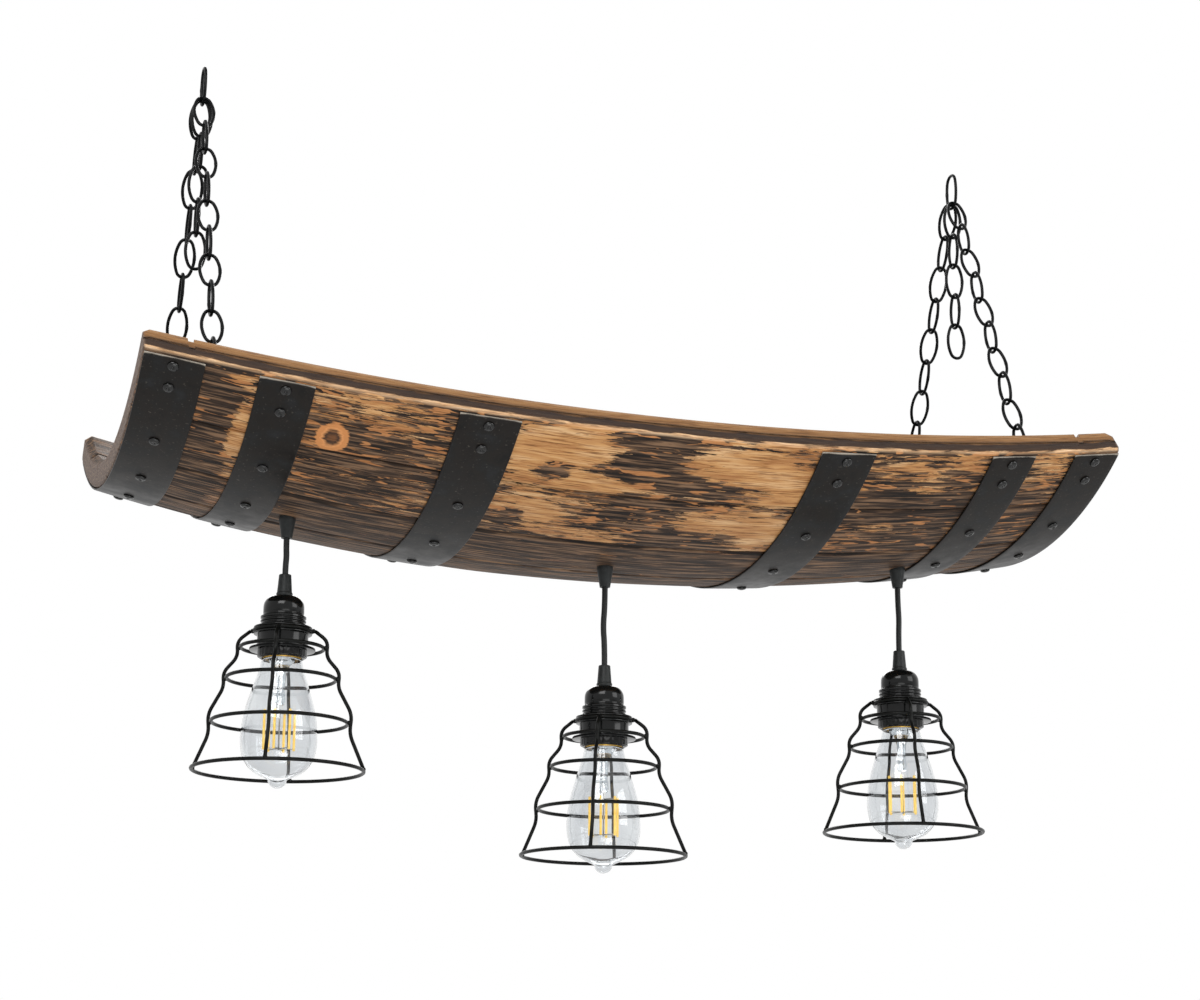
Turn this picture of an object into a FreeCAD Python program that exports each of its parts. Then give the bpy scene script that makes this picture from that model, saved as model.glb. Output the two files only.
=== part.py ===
"""Barrel chandelier: a curved panel of barrel staves hung on two chains, with three caged pendants.

Frame: millimetres, +Z up, +X along the panel, the viewer's side at -Y. The origin is the middle of
the line between the two hang points, at the inner top of the hanger links. Barrel angles are
measured from straight down, positive towards the front edge.
"""
import FreeCAD
import Part
import math
import os

V = FreeCAD.Vector
UP = V(0, 0, 1)
ALONG = V(1, 0, 0)
ACROSS = V(0, 1, 0)

# Barrel panel
stave_length = 880.0
stave_thickness = 27.0
stave_count = 6
stave_angle = 12.6
bilge_radius = 347.0
bilge_rise = 48.0
chime_flat = 21.0
chime_cut = 6.0
croze_inset = 36.0
croze_width = 5.0
croze_depth = 4.5

# Steel hoops: middle lines of the head and quarter hoops from the panel's ends, of the bilge hoops from
# its middle
head_hoop_inset = 24.75
head_hoop_width = 48.5
quarter_hoop_inset = 114.0
quarter_hoop_width = 45.0
bilge_hoop_offset = 160.0
bilge_hoop_width = 52.0
hoop_thickness = 1.6
hoop_end_inset = 4.0
seat_clearance = 0.1

# Hoop screws
screw_head_radius = 4.6
screw_head_height = 2.6
screw_head_rim = 0.8
screw_shank_radius = 1.9
screw_length = 19.0
edge_screw_inset = 13.0
pilot_clearance = 0.1
drill_lead = 1.0

# Chain and screw eyes: openings of the links, and the inner radius of their ends
link_wire = 3.0
link_inner_length = 31.5
link_inner_width = 14.4
link_end_radius = 4.8
hanger_inner_width = 16.0
hanger_end_radius = 7.0
link_play = 0.3
strand_links = 10
spare_links = 5
link_twist = 90.0
crowd_angle = 42.0
hang_inset = 66.0
eye_angle = 28.0
eye_ring_radius = 9.0
eye_wire = 4.0
eye_height = 16.0
eye_depth = 16.0

# Pendant places and cords
pendant_end_inset = 150.0
pendant_shift = 3.0
pendant_front = 22.0
cord_radius = 2.6
free_cord = {"left": 32.0, "middle": 71.0, "right": 60.0}
cage_turn = {"left": 20.0, "middle": 28.0, "right": 12.0}
bore_clearance = 0.3

# Cord gland through the stave
gland_nose_length = 19.0
gland_flange_radius = 7.2
gland_flange_height = 3.0
gland_tip_radius = 4.7
gland_stem_radius = 5.6
spot_face_clearance = 0.3
spot_face_depth = 0.3
locknut_flats = 16.0
locknut_height = 4.5
stem_above_nut = 2.0

# Lampholder, measured down from the mouth of its cord grip
grip_length = 19.3
grip_top_radius = 5.2
grip_foot_radius = 7.0
grip_stem_radius = 4.8
grip_stem_length = 5.0
cap_height = 17.4
cap_bell_height = 9.6
cap_bell_bow = (2.2, 3.1)
cap_top_radius = 8.6
cap_radius = 17.4
cap_wall = 2.0
holder_radius = 19.4
holder_height = 36.3
holder_wall = 1.8
holder_roof = 4.0
mouth_depth = 5.0
thread_grooves = 5
groove_pitch = 3.0
groove_depth = 0.8
shell_radius = 14.3
shell_wall = 0.8
shell_length = 23.2
ring_seat_radius = 24.8
ring_seat_height = 1.4
ring_sleeve_radius = 21.7
ring_sleeve_height = 11.8
ring_flange_radius = 28.0
ring_flange_height = 2.2
ring_nut_radius = 21.0
ring_nut_height = 5.6
ring_clearance = 0.15

# Wire cage: wire size, then the rings as (height below the grip mouth, radius of the uprights there)
cage_wire = 3.2
cage_upright_count = 4
cage_weld = 0.1
cage_collar = (49.2, 27.5)
cage_crests = [(58.0, 38.8), (85.0, 49.6), (120.6, 61.0)]
cage_troughs = [(71.4, 37.6), (97.5, 48.4), (137.0, 59.4)]
cage_ring_share = 0.43
cage_rim = (168.0, 72.0)
cage_bend_radius = 7.0

# Bulb, measured down from the grip mouth
bulb_cap_radius = 13.2
bulb_cap_top = 45.4
bulb_button_radius = 5.3
bulb_button_rise = 1.8
bulb_skirt_top = 69.5
bulb_glass_top = 73.8
bulb_neck_radius = 17.0
bulb_shoulder = (100.4, 24.6)
bulb_belly = (140.9, 32.4)
bulb_lower = (161.2, 28.6)
bulb_nub = (176.1, 8.0)
bulb_tip = 183.4
nub_taper = 0.6
glass_wall = 1.0
filament_count = 6
filament_radius = 1.1
filament_lead = 0.4
filament_hub = 1.6
filament_circle = 13.0
filament_top = 118.7
filament_foot = 149.6
stem_radius = 4.2
stem_flare_radius = 12.0
stem_foot = 112.9

# Junction box in the trough
box_middle = 145.0
box_size = (90.0, 70.0, 40.0)
box_sheet = 1.6
box_lug = 9.0
box_seat = 0.3
inlet_radius = 5.5
inlet_wall = 1.5
inlet_flange_radius = 10.0
inlet_flange_height = 2.0
box_screw_offset = (25.0, 18.0)
nut_cap_radius = 6.0
nut_tip_radius = 3.6
nut_cap_length = 22.0
nut_cap_gap = 2.0

# Wiring on the trough floor
wire_lift = 0.4
wire_rise = 44.0
wire_bend = 20.0
wire_tail = 12.0
floor_stops = (0.3, 0.5, 0.7)
clip_width = 10.0
clip_sheet = 1.4
clip_foot = 7.0

# Largest share of a straight run that one bend may take, and the gap that counts as closed
bend_share = 0.45
join_tolerance = 1e-6

# Worked out from the driving dimensions
half_length = stave_length / 2
meridian_radius = (half_length ** 2 + bilge_rise ** 2) / (2 * bilge_rise)
half_angle = stave_count * stave_angle / 2
hoop_places = {"head": (half_length - head_hoop_inset, head_hoop_width),
               "quarter": (half_length - quarter_hoop_inset, quarter_hoop_width),
               "bilge": (bilge_hoop_offset, bilge_hoop_width)}
hang_half_span = half_length - hang_inset
pendant_pitch = half_length - pendant_end_inset
wire_r = link_wire / 2
link_bend = link_end_radius + wire_r
link_reach = link_inner_length + link_wire
link_pitch = link_inner_length - link_play
crossing = hanger_end_radius - wire_r - link_play
turn_z = -(link_inner_length - hanger_end_radius)
cage_r = cage_wire / 2


def meridian(x, depth):
    """Radius from the barrel axis of the stave surface at x, depth below the outer face."""
    return bilge_radius - meridian_radius + math.sqrt((meridian_radius - depth) ** 2 - x ** 2)


eye_ring_axis_distance = meridian(hang_half_span, stave_thickness) - eye_height
eye_y = eye_ring_axis_distance * math.sin(math.radians(eye_angle))
start_y = crossing * math.sin(math.radians(crowd_angle))
start_z = turn_z - crossing * math.cos(math.radians(crowd_angle))
eye_play = eye_ring_radius - eye_wire / 2 - wire_r - 2 * link_play
strand_length = (strand_links - 1) * link_pitch + link_reach + eye_play
eye_z = start_z - math.sqrt(strand_length ** 2 - (eye_y - start_y) ** 2)
axis_z = eye_z + eye_ring_axis_distance * math.cos(math.radians(eye_angle))
strand_lean = math.degrees(math.asin((eye_y - start_y) / strand_length))
sway_z = start_z - (link_reach - link_bend) * math.cos(math.radians(strand_lean))
spare_sway_z = turn_z - crossing - (link_reach - link_bend)


def on_barrel(x, radius, angle):
    """Point at x, at this distance from the barrel axis and angle from straight down."""
    turn = math.radians(angle)
    return V(x, -radius * math.sin(turn), axis_z - radius * math.cos(turn))


def barrel_normal(x, angle):
    """Outward normal of the barrel at x and angle."""
    tilt = math.asin(x / meridian_radius)
    turn = math.radians(angle)
    return V(math.sin(tilt), -math.cos(tilt) * math.sin(turn), -math.cos(tilt) * math.cos(turn))


def skin_point(x, angle):
    """Point on the panel's outer face."""
    return on_barrel(x, meridian(x, 0), angle)


def height_at(x, y, depth):
    """Height of the surface that lies depth inside the outer face."""
    return axis_z - math.sqrt(meridian(x, depth) ** 2 - y ** 2)


def arc_edge(x_from, x_to, depth):
    """Stretch of the meridian in the middle plane."""
    def point(x):
        return V(x, 0, axis_z - meridian(x, depth))
    return Part.Arc(point(x_from), point((x_from + x_to) / 2), point(x_to)).toShape()


def closed_face(edges):
    """Face inside edges that are listed in order and joined by straight lines where they don't meet."""
    loop = []
    for here, after in zip(edges, edges[1:] + edges[:1]):
        loop.append(here)
        end = here.valueAt(here.LastParameter)
        start = after.valueAt(after.FirstParameter)
        if end.distanceToPoint(start) > join_tolerance:
            loop.append(Part.makeLine(end, start))
    return Part.Face(Part.Wire(loop))


def barrel_turn(face, angle_from, angle_to):
    """Turn a face of the middle plane about the barrel axis, from one angle to the other."""
    centre = V(0, 0, axis_z)
    placed = face.copy()
    placed.rotate(centre, ALONG, -angle_to)
    return placed.revolve(centre, ALONG, angle_to - angle_from)


def lathe(profile, x=0.0, y=0.0, z=0.0):
    """Solid of revolution about a vertical axis; the profile is (radius, height) points."""
    points = [V(r, 0, h) for r, h in profile]
    solid = Part.Face(Part.makePolygon(points + points[:1])).revolve(V(), UP, 360)
    solid.translate(V(x, y, z))
    return solid


def spun(edges):
    """Solid of revolution about Z of a closed outline in the plane of X and Z."""
    return Part.Face(Part.Wire(Part.__sortEdges__(edges))).revolve(V(), UP, 360)


def aimed(shape, place, direction):
    """Copy of a shape whose own +Z is turned to a direction and whose origin goes to a place."""
    copy = shape.copy()
    copy.Placement = FreeCAD.Placement(place, FreeCAD.Rotation(UP, direction))
    return copy


def rounded_path(points, radius):
    """Straight runs through the points, joined by tangent arcs."""
    edges = []
    start = points[0]
    for before, corner, after in zip(points, points[1:], points[2:]):
        back = (before - corner).normalize()
        on = (after - corner).normalize()
        half = back.getAngle(on) / 2
        room = bend_share * min(before.distanceToPoint(corner), after.distanceToPoint(corner))
        trim = min(radius / math.tan(half), room)
        bow = (back + on).normalize()
        reach = trim / math.cos(half) - trim * math.tan(half)
        enter = corner + back * trim
        leave = corner + on * trim
        edges.append(Part.makeLine(start, enter))
        edges.append(Part.Arc(enter, corner + bow * reach, leave).toShape())
        start = leave
    edges.append(Part.makeLine(start, points[-1]))
    return Part.Wire(edges)


def tube(points, radius, bend):
    """Round bar along a rounded path."""
    path = rounded_path(points, bend)
    section = Part.Wire(Part.makeCircle(radius, points[0], points[1] - points[0]))
    return path.makePipeShell([section], True, False)


def save(node, solids):
    """Write one node, a solid or a group of separate solids."""
    shape = solids[0] if len(solids) == 1 else Part.makeCompound(solids)
    shape.exportStep("parts/" + node + ".step")


# Staves

def stave_profile():
    """Lengthwise section of a stave with bevelled chimes and a croze groove near each end."""
    level = axis_z - meridian(half_length, 0)
    bevel = half_length - chime_cut
    groove_out = half_length - croze_inset
    groove_in = groove_out - croze_width
    stops = [bevel, groove_out, groove_in, -groove_in, -groove_out, -bevel]
    groove_depth_in = stave_thickness - croze_depth
    depths = [stave_thickness, groove_depth_in, stave_thickness, groove_depth_in, stave_thickness]
    outer = arc_edge(-half_length, half_length, 0)
    right_end = Part.makeLine(V(half_length, 0, level), V(half_length, 0, level + chime_flat))
    inner = [arc_edge(start, end, depth) for start, end, depth in zip(stops, stops[1:], depths)]
    left_end = Part.makeLine(V(-half_length, 0, level + chime_flat), V(-half_length, 0, level))
    return closed_face([outer, right_end] + inner + [left_end])


def stave_span(number):
    """Angles of a stave's two long edges; stave 1 is the front one."""
    front = half_angle - (number - 1) * stave_angle
    return front - stave_angle, front


# Hoops and their screws

def hoop_spans():
    """Node name and lengthwise span of each hoop."""
    spans = {}
    for name, (middle, width) in hoop_places.items():
        spans[name + "_hoop_left"] = (-middle - width / 2, -middle + width / 2)
        spans[name + "_hoop_right"] = (middle - width / 2, middle + width / 2)
    return spans


def hoop_solid(x_from, x_to):
    """Band of strip steel that lies on the staves and stops short of the panel's long edges."""
    inner = arc_edge(x_from, x_to, -seat_clearance)
    outer = arc_edge(x_to, x_from, -seat_clearance - hoop_thickness)
    inset = math.degrees(hoop_end_inset / bilge_radius)
    return barrel_turn(closed_face([inner, outer]), -half_angle + inset, half_angle - inset)


def screw_angles():
    """One screw in the middle of each stave and one more near each long edge."""
    middles = [half_angle - (i + 0.5) * stave_angle for i in range(stave_count)]
    edge = half_angle - math.degrees(edge_screw_inset / bilge_radius)
    return [edge] + middles + [-edge]


def screw_solid():
    """Domed screw along Z: the head's underside is at zero and the shank points down."""
    r = screw_head_radius
    h = screw_head_height
    crown = h - screw_head_rim
    ball = (r * r + crown * crown) / (2 * crown)
    half = math.asin(r / ball) / 2
    bow = V(ball * math.sin(half), 0, h - ball + ball * math.cos(half))
    dome = Part.Arc(V(r, 0, screw_head_rim), bow, V(0, 0, h)).toShape()
    shank = screw_shank_radius
    outline = Part.makePolygon([V(0, 0, h), V(0, 0, -screw_length), V(shank, 0, -screw_length + 2 * shank),
                                V(shank, 0, 0), V(r, 0, 0), V(r, 0, screw_head_rim)])
    return spun(outline.Edges + [dome])


def screw_places():
    """Place and outward direction of every hoop screw, on the hoop's outer face."""
    places = []
    for x_from, x_to in hoop_spans().values():
        x = (x_from + x_to) / 2
        for angle in screw_angles():
            out = barrel_normal(x, angle)
            places.append((skin_point(x, angle) + out * (hoop_thickness + 2 * seat_clearance), out))
    return places


def screw_holes():
    """Cutters for the screws' holes through the hoops and into the staves."""
    radius = screw_shank_radius + pilot_clearance
    depth = screw_length + pilot_clearance
    return [Part.makeCylinder(radius, depth + drill_lead, place + out * drill_lead, out * -1)
            for place, out in screw_places()]


# Screw eyes

def eye_places():
    """Ring centre and direction towards the barrel axis for the four screw eyes."""
    places = []
    for x in (-hang_half_span, hang_half_span):
        for angle in (eye_angle, -eye_angle):
            centre = on_barrel(x, eye_ring_axis_distance, angle)
            places.append((centre, (V(x, 0, axis_z) - centre).normalize()))
    return places


def eye_solid():
    """Screw eye along Z, its ring about the origin in the plane of Z and the panel's length."""
    ring = Part.makeTorus(eye_ring_radius, eye_wire / 2, V(), ACROSS)
    shank_length = eye_height + eye_depth - eye_ring_radius
    return ring.fuse(Part.makeCylinder(eye_wire / 2, shank_length, V(0, 0, -eye_ring_radius), UP * -1))


def eye_holes():
    """Cutters for the pilot holes of the screw eyes."""
    radius = eye_wire / 2 + pilot_clearance
    return [Part.makeCylinder(radius, eye_height + eye_depth + pilot_clearance, place, inward * -1)
            for place, inward in eye_places()]


# Chains

def link_solid(inner_width, end_radius):
    """Oval link along Z in the plane of X and Z, with the middle of its upper bend's wire at the origin.

    Two small arcs make its ends and two large ones, tangent to them, its sides.
    """
    half = link_reach / 2
    wide = inner_width / 2 + wire_r
    bend = end_radius + wire_r
    rise = half - bend
    shift = (rise ** 2 - (wide - bend) ** 2) / (2 * (wide - bend))
    share = (shift + wide) / math.hypot(shift, rise)
    x = shift * (share - 1)
    z = rise * share

    def arc(*corners):
        return Part.Arc(*[V(across, 0, up - half) for across, up in corners]).toShape()

    path = Part.Wire([arc((x, z), (wide, 0), (x, -z)), arc((x, -z), (0, -half), (-x, -z)),
                      arc((-x, -z), (-wide, 0), (-x, z)), arc((-x, z), (0, half), (x, z))])
    start = path.Edges[0]
    section = Part.Wire(Part.makeCircle(wire_r, start.valueAt(start.FirstParameter),
                                        start.tangentAt(start.FirstParameter)))
    return path.makePipeShell([section], True, False)


def hang_link(link, place, lean, twist):
    """Copy of the link at a place, leaning about X and twisted about its own length."""
    copy = link.copy()
    turned = FreeCAD.Rotation(ALONG, lean).multiply(FreeCAD.Rotation(UP, twist))
    copy.Placement = FreeCAD.Placement(place, turned)
    return copy


def strand(link, x, side):
    """Links of one strand from the hanger link to its screw eye; side is -1 at the front, 1 at the back."""
    lean = math.radians(strand_lean)
    down = V(0, side * math.sin(lean), -math.cos(lean))
    start = V(x, side * start_y, start_z)
    return [hang_link(link, start + down * (i * link_pitch), side * strand_lean, -side * link_twist * (i % 2))
            for i in range(strand_links)]


def spare(link, x):
    """Surplus links that hang straight down from the hanger link."""
    return [hang_link(link, V(x, 0, turn_z - crossing - i * link_pitch), 0, -link_twist * (i % 2))
            for i in range(spare_links)]


# Cord glands

def pendant_places():
    """Place of each pendant on the panel's plan."""
    names = ("left", "middle", "right")
    return {name: (pendant_shift + (i - 1) * pendant_pitch, -pendant_front) for i, name in enumerate(names)}


def seat_levels(x, y):
    """Heights of the flats cut for a gland's flange below and for its locknut above."""
    reach = gland_flange_radius + spot_face_clearance
    below = [height_at(x + dx, y + dy, 0) for dx, dy in ((reach, 0), (-reach, 0), (0, reach), (0, -reach))]
    nut = locknut_flats / math.sqrt(3) + spot_face_clearance
    above = [height_at(x + dx, y + dy, stave_thickness)
             for dx, dy in ((nut, 0), (-nut, 0), (0, nut), (0, -nut))]
    return max(below) + spot_face_depth, min(above) - spot_face_depth


def cord_exit(name):
    """Point where a pendant's cord leaves its gland."""
    x, y = pendant_places()[name]
    return V(x, y, seat_levels(x, y)[0] - gland_nose_length)


def gland_holes(x, y):
    """Cutters for a gland's bore and its two spot faces."""
    low, high = seat_levels(x, y)
    deep = stave_thickness
    nut = locknut_flats / math.sqrt(3) + spot_face_clearance
    return [Part.makeCylinder(gland_stem_radius + pilot_clearance, 3 * deep, V(x, y, low - deep)),
            Part.makeCylinder(gland_flange_radius + spot_face_clearance, deep, V(x, y, low - deep)),
            Part.makeCylinder(nut, deep, V(x, y, high))]


def gland_solid(x, y):
    """Strain relief with a flange, a tapered nose below and a stem up through the stave."""
    low, high = seat_levels(x, y)
    bore = cord_radius + bore_clearance
    top = high - low + locknut_height + stem_above_nut
    return lathe([(bore, top), (gland_stem_radius, top), (gland_stem_radius, 0), (gland_flange_radius, 0),
                  (gland_flange_radius, -gland_flange_height), (gland_tip_radius, -gland_nose_length),
                  (bore, -gland_nose_length)], x, y, low)


def locknut_solid(x, y):
    """Hexagon nut on the gland's stem, seated in the trough."""
    high = seat_levels(x, y)[1]
    corner = locknut_flats / math.sqrt(3)
    points = [V(corner * math.cos(math.radians(60 * i)), corner * math.sin(math.radians(60 * i)), 0)
              for i in range(7)]
    body = Part.Face(Part.makePolygon(points)).extrude(UP * locknut_height)
    nut = body.cut(Part.makeCylinder(gland_stem_radius + pilot_clearance, locknut_height))
    nut.translate(V(x, y, high))
    return nut


# Pendants: heights run down from the mouth of the cord grip

def cord_solid(length):
    """Free cord with round ends that turn inside the gland and the grip; the gland's exit is at zero."""
    shaft = Part.makeCylinder(cord_radius, length, V(0, 0, -length))
    return shaft.multiFuse([Part.makeSphere(cord_radius), Part.makeSphere(cord_radius, V(0, 0, -length))])


def grip_solid():
    """Tapered cord grip with a stem that screws into the cap."""
    bore = cord_radius + bore_clearance
    foot = -grip_length
    return lathe([(bore, 0), (grip_top_radius, 0), (grip_foot_radius, foot), (grip_stem_radius, foot),
                  (grip_stem_radius, foot - grip_stem_length), (bore, foot - grip_stem_length)])


def cap_solid():
    """Bell-shaped cap of the lampholder."""
    top = -grip_length
    foot = top - cap_height

    def bell(inset, drop):
        bow_in, bow_down = cap_bell_bow
        shoulder = V(cap_radius - inset, 0, top - cap_bell_height)
        bow = V(cap_radius - inset - bow_in, 0, top - drop - bow_down)
        return Part.Arc(V(cap_top_radius - inset, 0, top - drop), bow, shoulder).toShape()

    hole = grip_stem_radius + pilot_clearance
    outer = bell(0, 0)
    inner = bell(cap_wall, cap_wall)
    lines = Part.makePolygon([outer.valueAt(outer.LastParameter), V(cap_radius, 0, foot),
                              V(cap_radius - cap_wall, 0, foot), inner.valueAt(inner.LastParameter)])
    roof = Part.makePolygon([inner.valueAt(inner.FirstParameter), V(hole, 0, top - cap_wall),
                             V(hole, 0, top), outer.valueAt(outer.FirstParameter)])
    back = Part.Arc(inner.valueAt(inner.LastParameter),
                    inner.valueAt((inner.FirstParameter + inner.LastParameter) / 2),
                    inner.valueAt(inner.FirstParameter)).toShape()
    return spun([outer] + lines.Edges + [back] + roof.Edges)


def holder_solid():
    """Lampholder barrel with a roof, thread grooves and a wider mouth for the bulb's skirt."""
    top = -grip_length - cap_height
    foot = top - holder_height
    inner = shell_radius + ring_clearance
    body = lathe([(0, top), (holder_radius, top), (holder_radius, foot), (holder_radius - holder_wall, foot),
                  (holder_radius - holder_wall, foot + mouth_depth), (inner, foot + mouth_depth),
                  (inner, top - holder_roof), (0, top - holder_roof)])
    grooves = []
    for i in range(thread_grooves):
        level = top - (i + 1) * groove_pitch
        grooves.append(lathe([(holder_radius - groove_depth, level),
                              (holder_radius + groove_depth, level + groove_pitch / 3),
                              (holder_radius + groove_depth, level - groove_pitch / 3)]))
    return body.cut(grooves)


def shell_solid():
    """Brass screw shell with a closed top, fitted in the lampholder."""
    top = -grip_length - cap_height - holder_roof
    inner = shell_radius - shell_wall
    return lathe([(0, top), (shell_radius, top), (shell_radius, top - shell_length),
                  (inner, top - shell_length), (inner, top - shell_wall), (0, top - shell_wall)])


def shade_ring_solids():
    """Thin ring above the cage's collar, and below it a sleeve with a seat, a wide flange and a nut."""
    bore = holder_radius + ring_clearance
    over = -cage_collar[0] + cage_r + ring_clearance
    under = -cage_collar[0] - cage_r - ring_clearance
    seat = under - ring_seat_height
    flange_top = seat - ring_sleeve_height
    flange_foot = flange_top - ring_flange_height
    nut_foot = flange_foot - ring_nut_height
    upper = [(bore, over), (ring_seat_radius, over), (ring_seat_radius, over + ring_seat_height),
             (bore, over + ring_seat_height)]
    lower = [(bore, under), (ring_seat_radius, under), (ring_seat_radius, seat), (ring_sleeve_radius, seat),
             (ring_sleeve_radius, flange_top), (ring_flange_radius, flange_top),
             (ring_flange_radius, flange_foot), (ring_nut_radius, flange_foot), (ring_nut_radius, nut_foot),
             (bore, nut_foot)]
    return [lathe(upper), lathe(lower)]


def cage_solids(turn):
    """Welded wire cage: a collar, three body rings and a rim inside four wavy uprights."""
    inset = cage_wire - cage_weld
    collar_depth, collar_radius = cage_collar
    rim_depth, rim_radius = cage_rim
    rings = [(collar_depth, collar_radius - inset), (rim_depth, rim_radius)]
    path = [V(collar_radius, 0, -collar_depth)]
    for (high, wide), (low, narrow) in zip(cage_crests, cage_troughs):
        path += [V(wide, 0, -high), V(narrow, 0, -low)]
        share = cage_ring_share
        rings.append((high + share * (low - high), wide + share * (narrow - wide) - inset))
    path.append(V(rim_radius, 0, -rim_depth + cage_r - cage_weld))
    upright = tube(path, cage_r, cage_bend_radius)
    solids = [Part.makeTorus(radius, cage_r, V(0, 0, -depth), UP) for depth, radius in sorted(rings)]
    for i in range(cage_upright_count):
        wire = upright.copy()
        wire.rotate(V(), UP, -90 - turn + i * 360.0 / cage_upright_count)
        solids.append(wire)
    return solids


def bulb_outline(wall):
    """Curve of the bulb's glass from the neck to the nub, wall inside the outer face."""
    lower_depth, lower_radius = bulb_lower
    nub_depth, nub_radius = bulb_nub
    points = [V(radius - wall, 0, -depth)
              for depth, radius in ((bulb_glass_top, bulb_neck_radius), bulb_shoulder, bulb_belly)]
    points += [V(lower_radius - wall, 0, wall - lower_depth), V(nub_radius, 0, 2 * wall - nub_depth)]
    curve = Part.BSplineCurve()
    curve.interpolate(points)
    return curve.toShape()


def glass_solid():
    """Pear-shaped glass envelope, open at the neck and drawn to a solid nub at the tip."""
    outer = bulb_outline(0)
    inner = bulb_outline(glass_wall)
    depth, radius = bulb_nub
    nub = Part.makeLine(V(radius, 0, -depth), V(radius * nub_taper, 0, -bulb_tip))
    floor = 2 * glass_wall - depth
    close = Part.makePolygon([V(radius * nub_taper, 0, -bulb_tip), V(0, 0, -bulb_tip), V(0, 0, floor),
                              V(radius, 0, floor)])
    neck = Part.makeLine(V(bulb_neck_radius - glass_wall, 0, -bulb_glass_top),
                         V(bulb_neck_radius, 0, -bulb_glass_top))
    return spun([outer, nub, inner, neck] + close.Edges)


def bulb_cap_solid():
    """Brass screw cap with a contact button and a flared skirt that takes the glass."""
    wall = shell_wall
    r = bulb_cap_radius
    flat = bulb_cap_top + bulb_button_rise
    return lathe([(0, -bulb_cap_top), (bulb_button_radius, -bulb_cap_top),
                  (r, -flat - wall), (r, -bulb_skirt_top),
                  (bulb_neck_radius, -bulb_glass_top), (stem_flare_radius - wall, -bulb_glass_top),
                  (r - 2 * wall, -bulb_skirt_top), (r - 2 * wall, -flat - 3 * wall), (0, -flat - 2 * wall)])


def filament_solid():
    """Glass stem and its ring of filament rods between two wire stars."""
    neck = bulb_glass_top
    stem = lathe([(0, -neck), (stem_flare_radius, -neck), (stem_radius, -neck - 2 * stem_radius),
                  (stem_radius, -stem_foot), (0, -stem_foot)])
    post = lathe([(0, -stem_foot + filament_hub), (filament_hub, -stem_foot + filament_hub),
                  (filament_hub, -filament_foot - filament_hub), (0, -filament_foot - filament_hub)])
    pieces = [post]
    for i in range(filament_count):
        turn = math.radians(360.0 * i / filament_count)
        out = V(math.cos(turn), math.sin(turn), 0)
        for level in (filament_top, filament_foot):
            pieces.append(Part.makeCylinder(filament_lead, filament_circle - filament_hub / 2,
                                            out * (filament_hub / 2) - UP * level, out))
        rod_top = out * filament_circle - UP * (filament_top - filament_hub)
        pieces.append(Part.makeCylinder(filament_radius, filament_foot - filament_top + 2 * filament_hub,
                                        rod_top, UP * -1))
    return stem.multiFuse(pieces)


# Junction box and wiring in the trough

def box_corner():
    """Lowest corner of the junction box, seated on the trough's floor."""
    wide, deep, _ = box_size
    x = box_middle - wide / 2
    y = -deep / 2
    level = max(height_at(x + dx, y, stave_thickness) for dx in (0, wide))
    return V(x, y, level + box_seat)


def box_screw_places():
    """Plan places of the two wood screws in the box's floor."""
    dx, dy = box_screw_offset
    return [(box_middle - dx, -dy), (box_middle + dx, dy)]


def wire_routes():
    """Points of the three cables, from inside each gland to inside the box."""
    corner = box_corner()
    routes = {}
    for name, (x, y) in pendant_places().items():
        side = 1 if x < box_middle else -1
        wall = corner.x if side > 0 else corner.x + box_size[0]
        lane = y if name != "left" else -y
        low = cord_exit(name).z + cord_radius + bore_clearance
        top = seat_levels(x, y)[1] + wire_rise
        entry = V(wall, lane, corner.z + box_size[2] / 3)
        points = [V(x, y, low), V(x, y, top)]
        if name == "left":
            for share in floor_stops:
                along = x + share * (wall - x)
                floor = height_at(along, lane, stave_thickness)
                points.append(V(along, lane, floor + cord_radius + wire_lift))
        points += [V(entry.x - side * 2 * wire_bend, entry.y, entry.z), entry + ALONG * (side * wire_tail)]
        routes[name] = points
    return routes


def box_solids():
    """Open sheet-steel box with two screw lugs, its cover, and the bushing in the cover."""
    wide, deep, high = box_size
    corner = box_corner()
    sheet = V(box_sheet, box_sheet, box_sheet)
    outside = Part.makeBox(wide, deep, high, corner)
    inside = Part.makeBox(wide - 2 * box_sheet, deep - 2 * box_sheet, high, corner + sheet)
    lugs = [Part.makeBox(box_lug, box_lug, box_lug, corner + V(x, y, high - box_lug))
            for x, y in ((box_sheet, box_sheet), (wide - box_sheet - box_lug, deep - box_sheet - box_lug))]
    hole = screw_shank_radius + pilot_clearance
    through = 3 * box_sheet
    cuts = [Part.makeCylinder(hole, through, V(x, y, corner.z - box_sheet)) for x, y in box_screw_places()]
    cuts += [Part.makeCylinder(hole, high, V(x, y, corner.z + high / 2)) for x, y in cover_screw_places()]
    for points in wire_routes().values():
        cuts.append(Part.makeCylinder(cord_radius + bore_clearance, 2 * wire_bend, points[-1],
                                      points[-2] - points[-1]))
    tray = outside.cut(inside).multiFuse(lugs).cut(cuts)
    level = corner.z + high
    cover = Part.makeBox(wide, deep, box_sheet, V(corner.x, corner.y, level))
    neck = inlet_radius + inlet_wall
    through = 3 * box_sheet
    below = level - box_sheet
    cover = cover.cut([Part.makeCylinder(neck + pilot_clearance, through, V(box_middle, 0, below))]
                      + [Part.makeCylinder(hole, through, V(x, y, below)) for x, y in cover_screw_places()])
    half = box_sheet / 2 + pilot_clearance
    lip = half + inlet_flange_height
    bushing = lathe([(inlet_radius, lip), (inlet_flange_radius, lip), (inlet_flange_radius, half),
                     (neck, half), (neck, -half), (inlet_flange_radius, -half), (inlet_flange_radius, -lip),
                     (inlet_radius, -lip)], box_middle, 0, level + box_sheet / 2)
    return tray, cover, bushing


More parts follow.
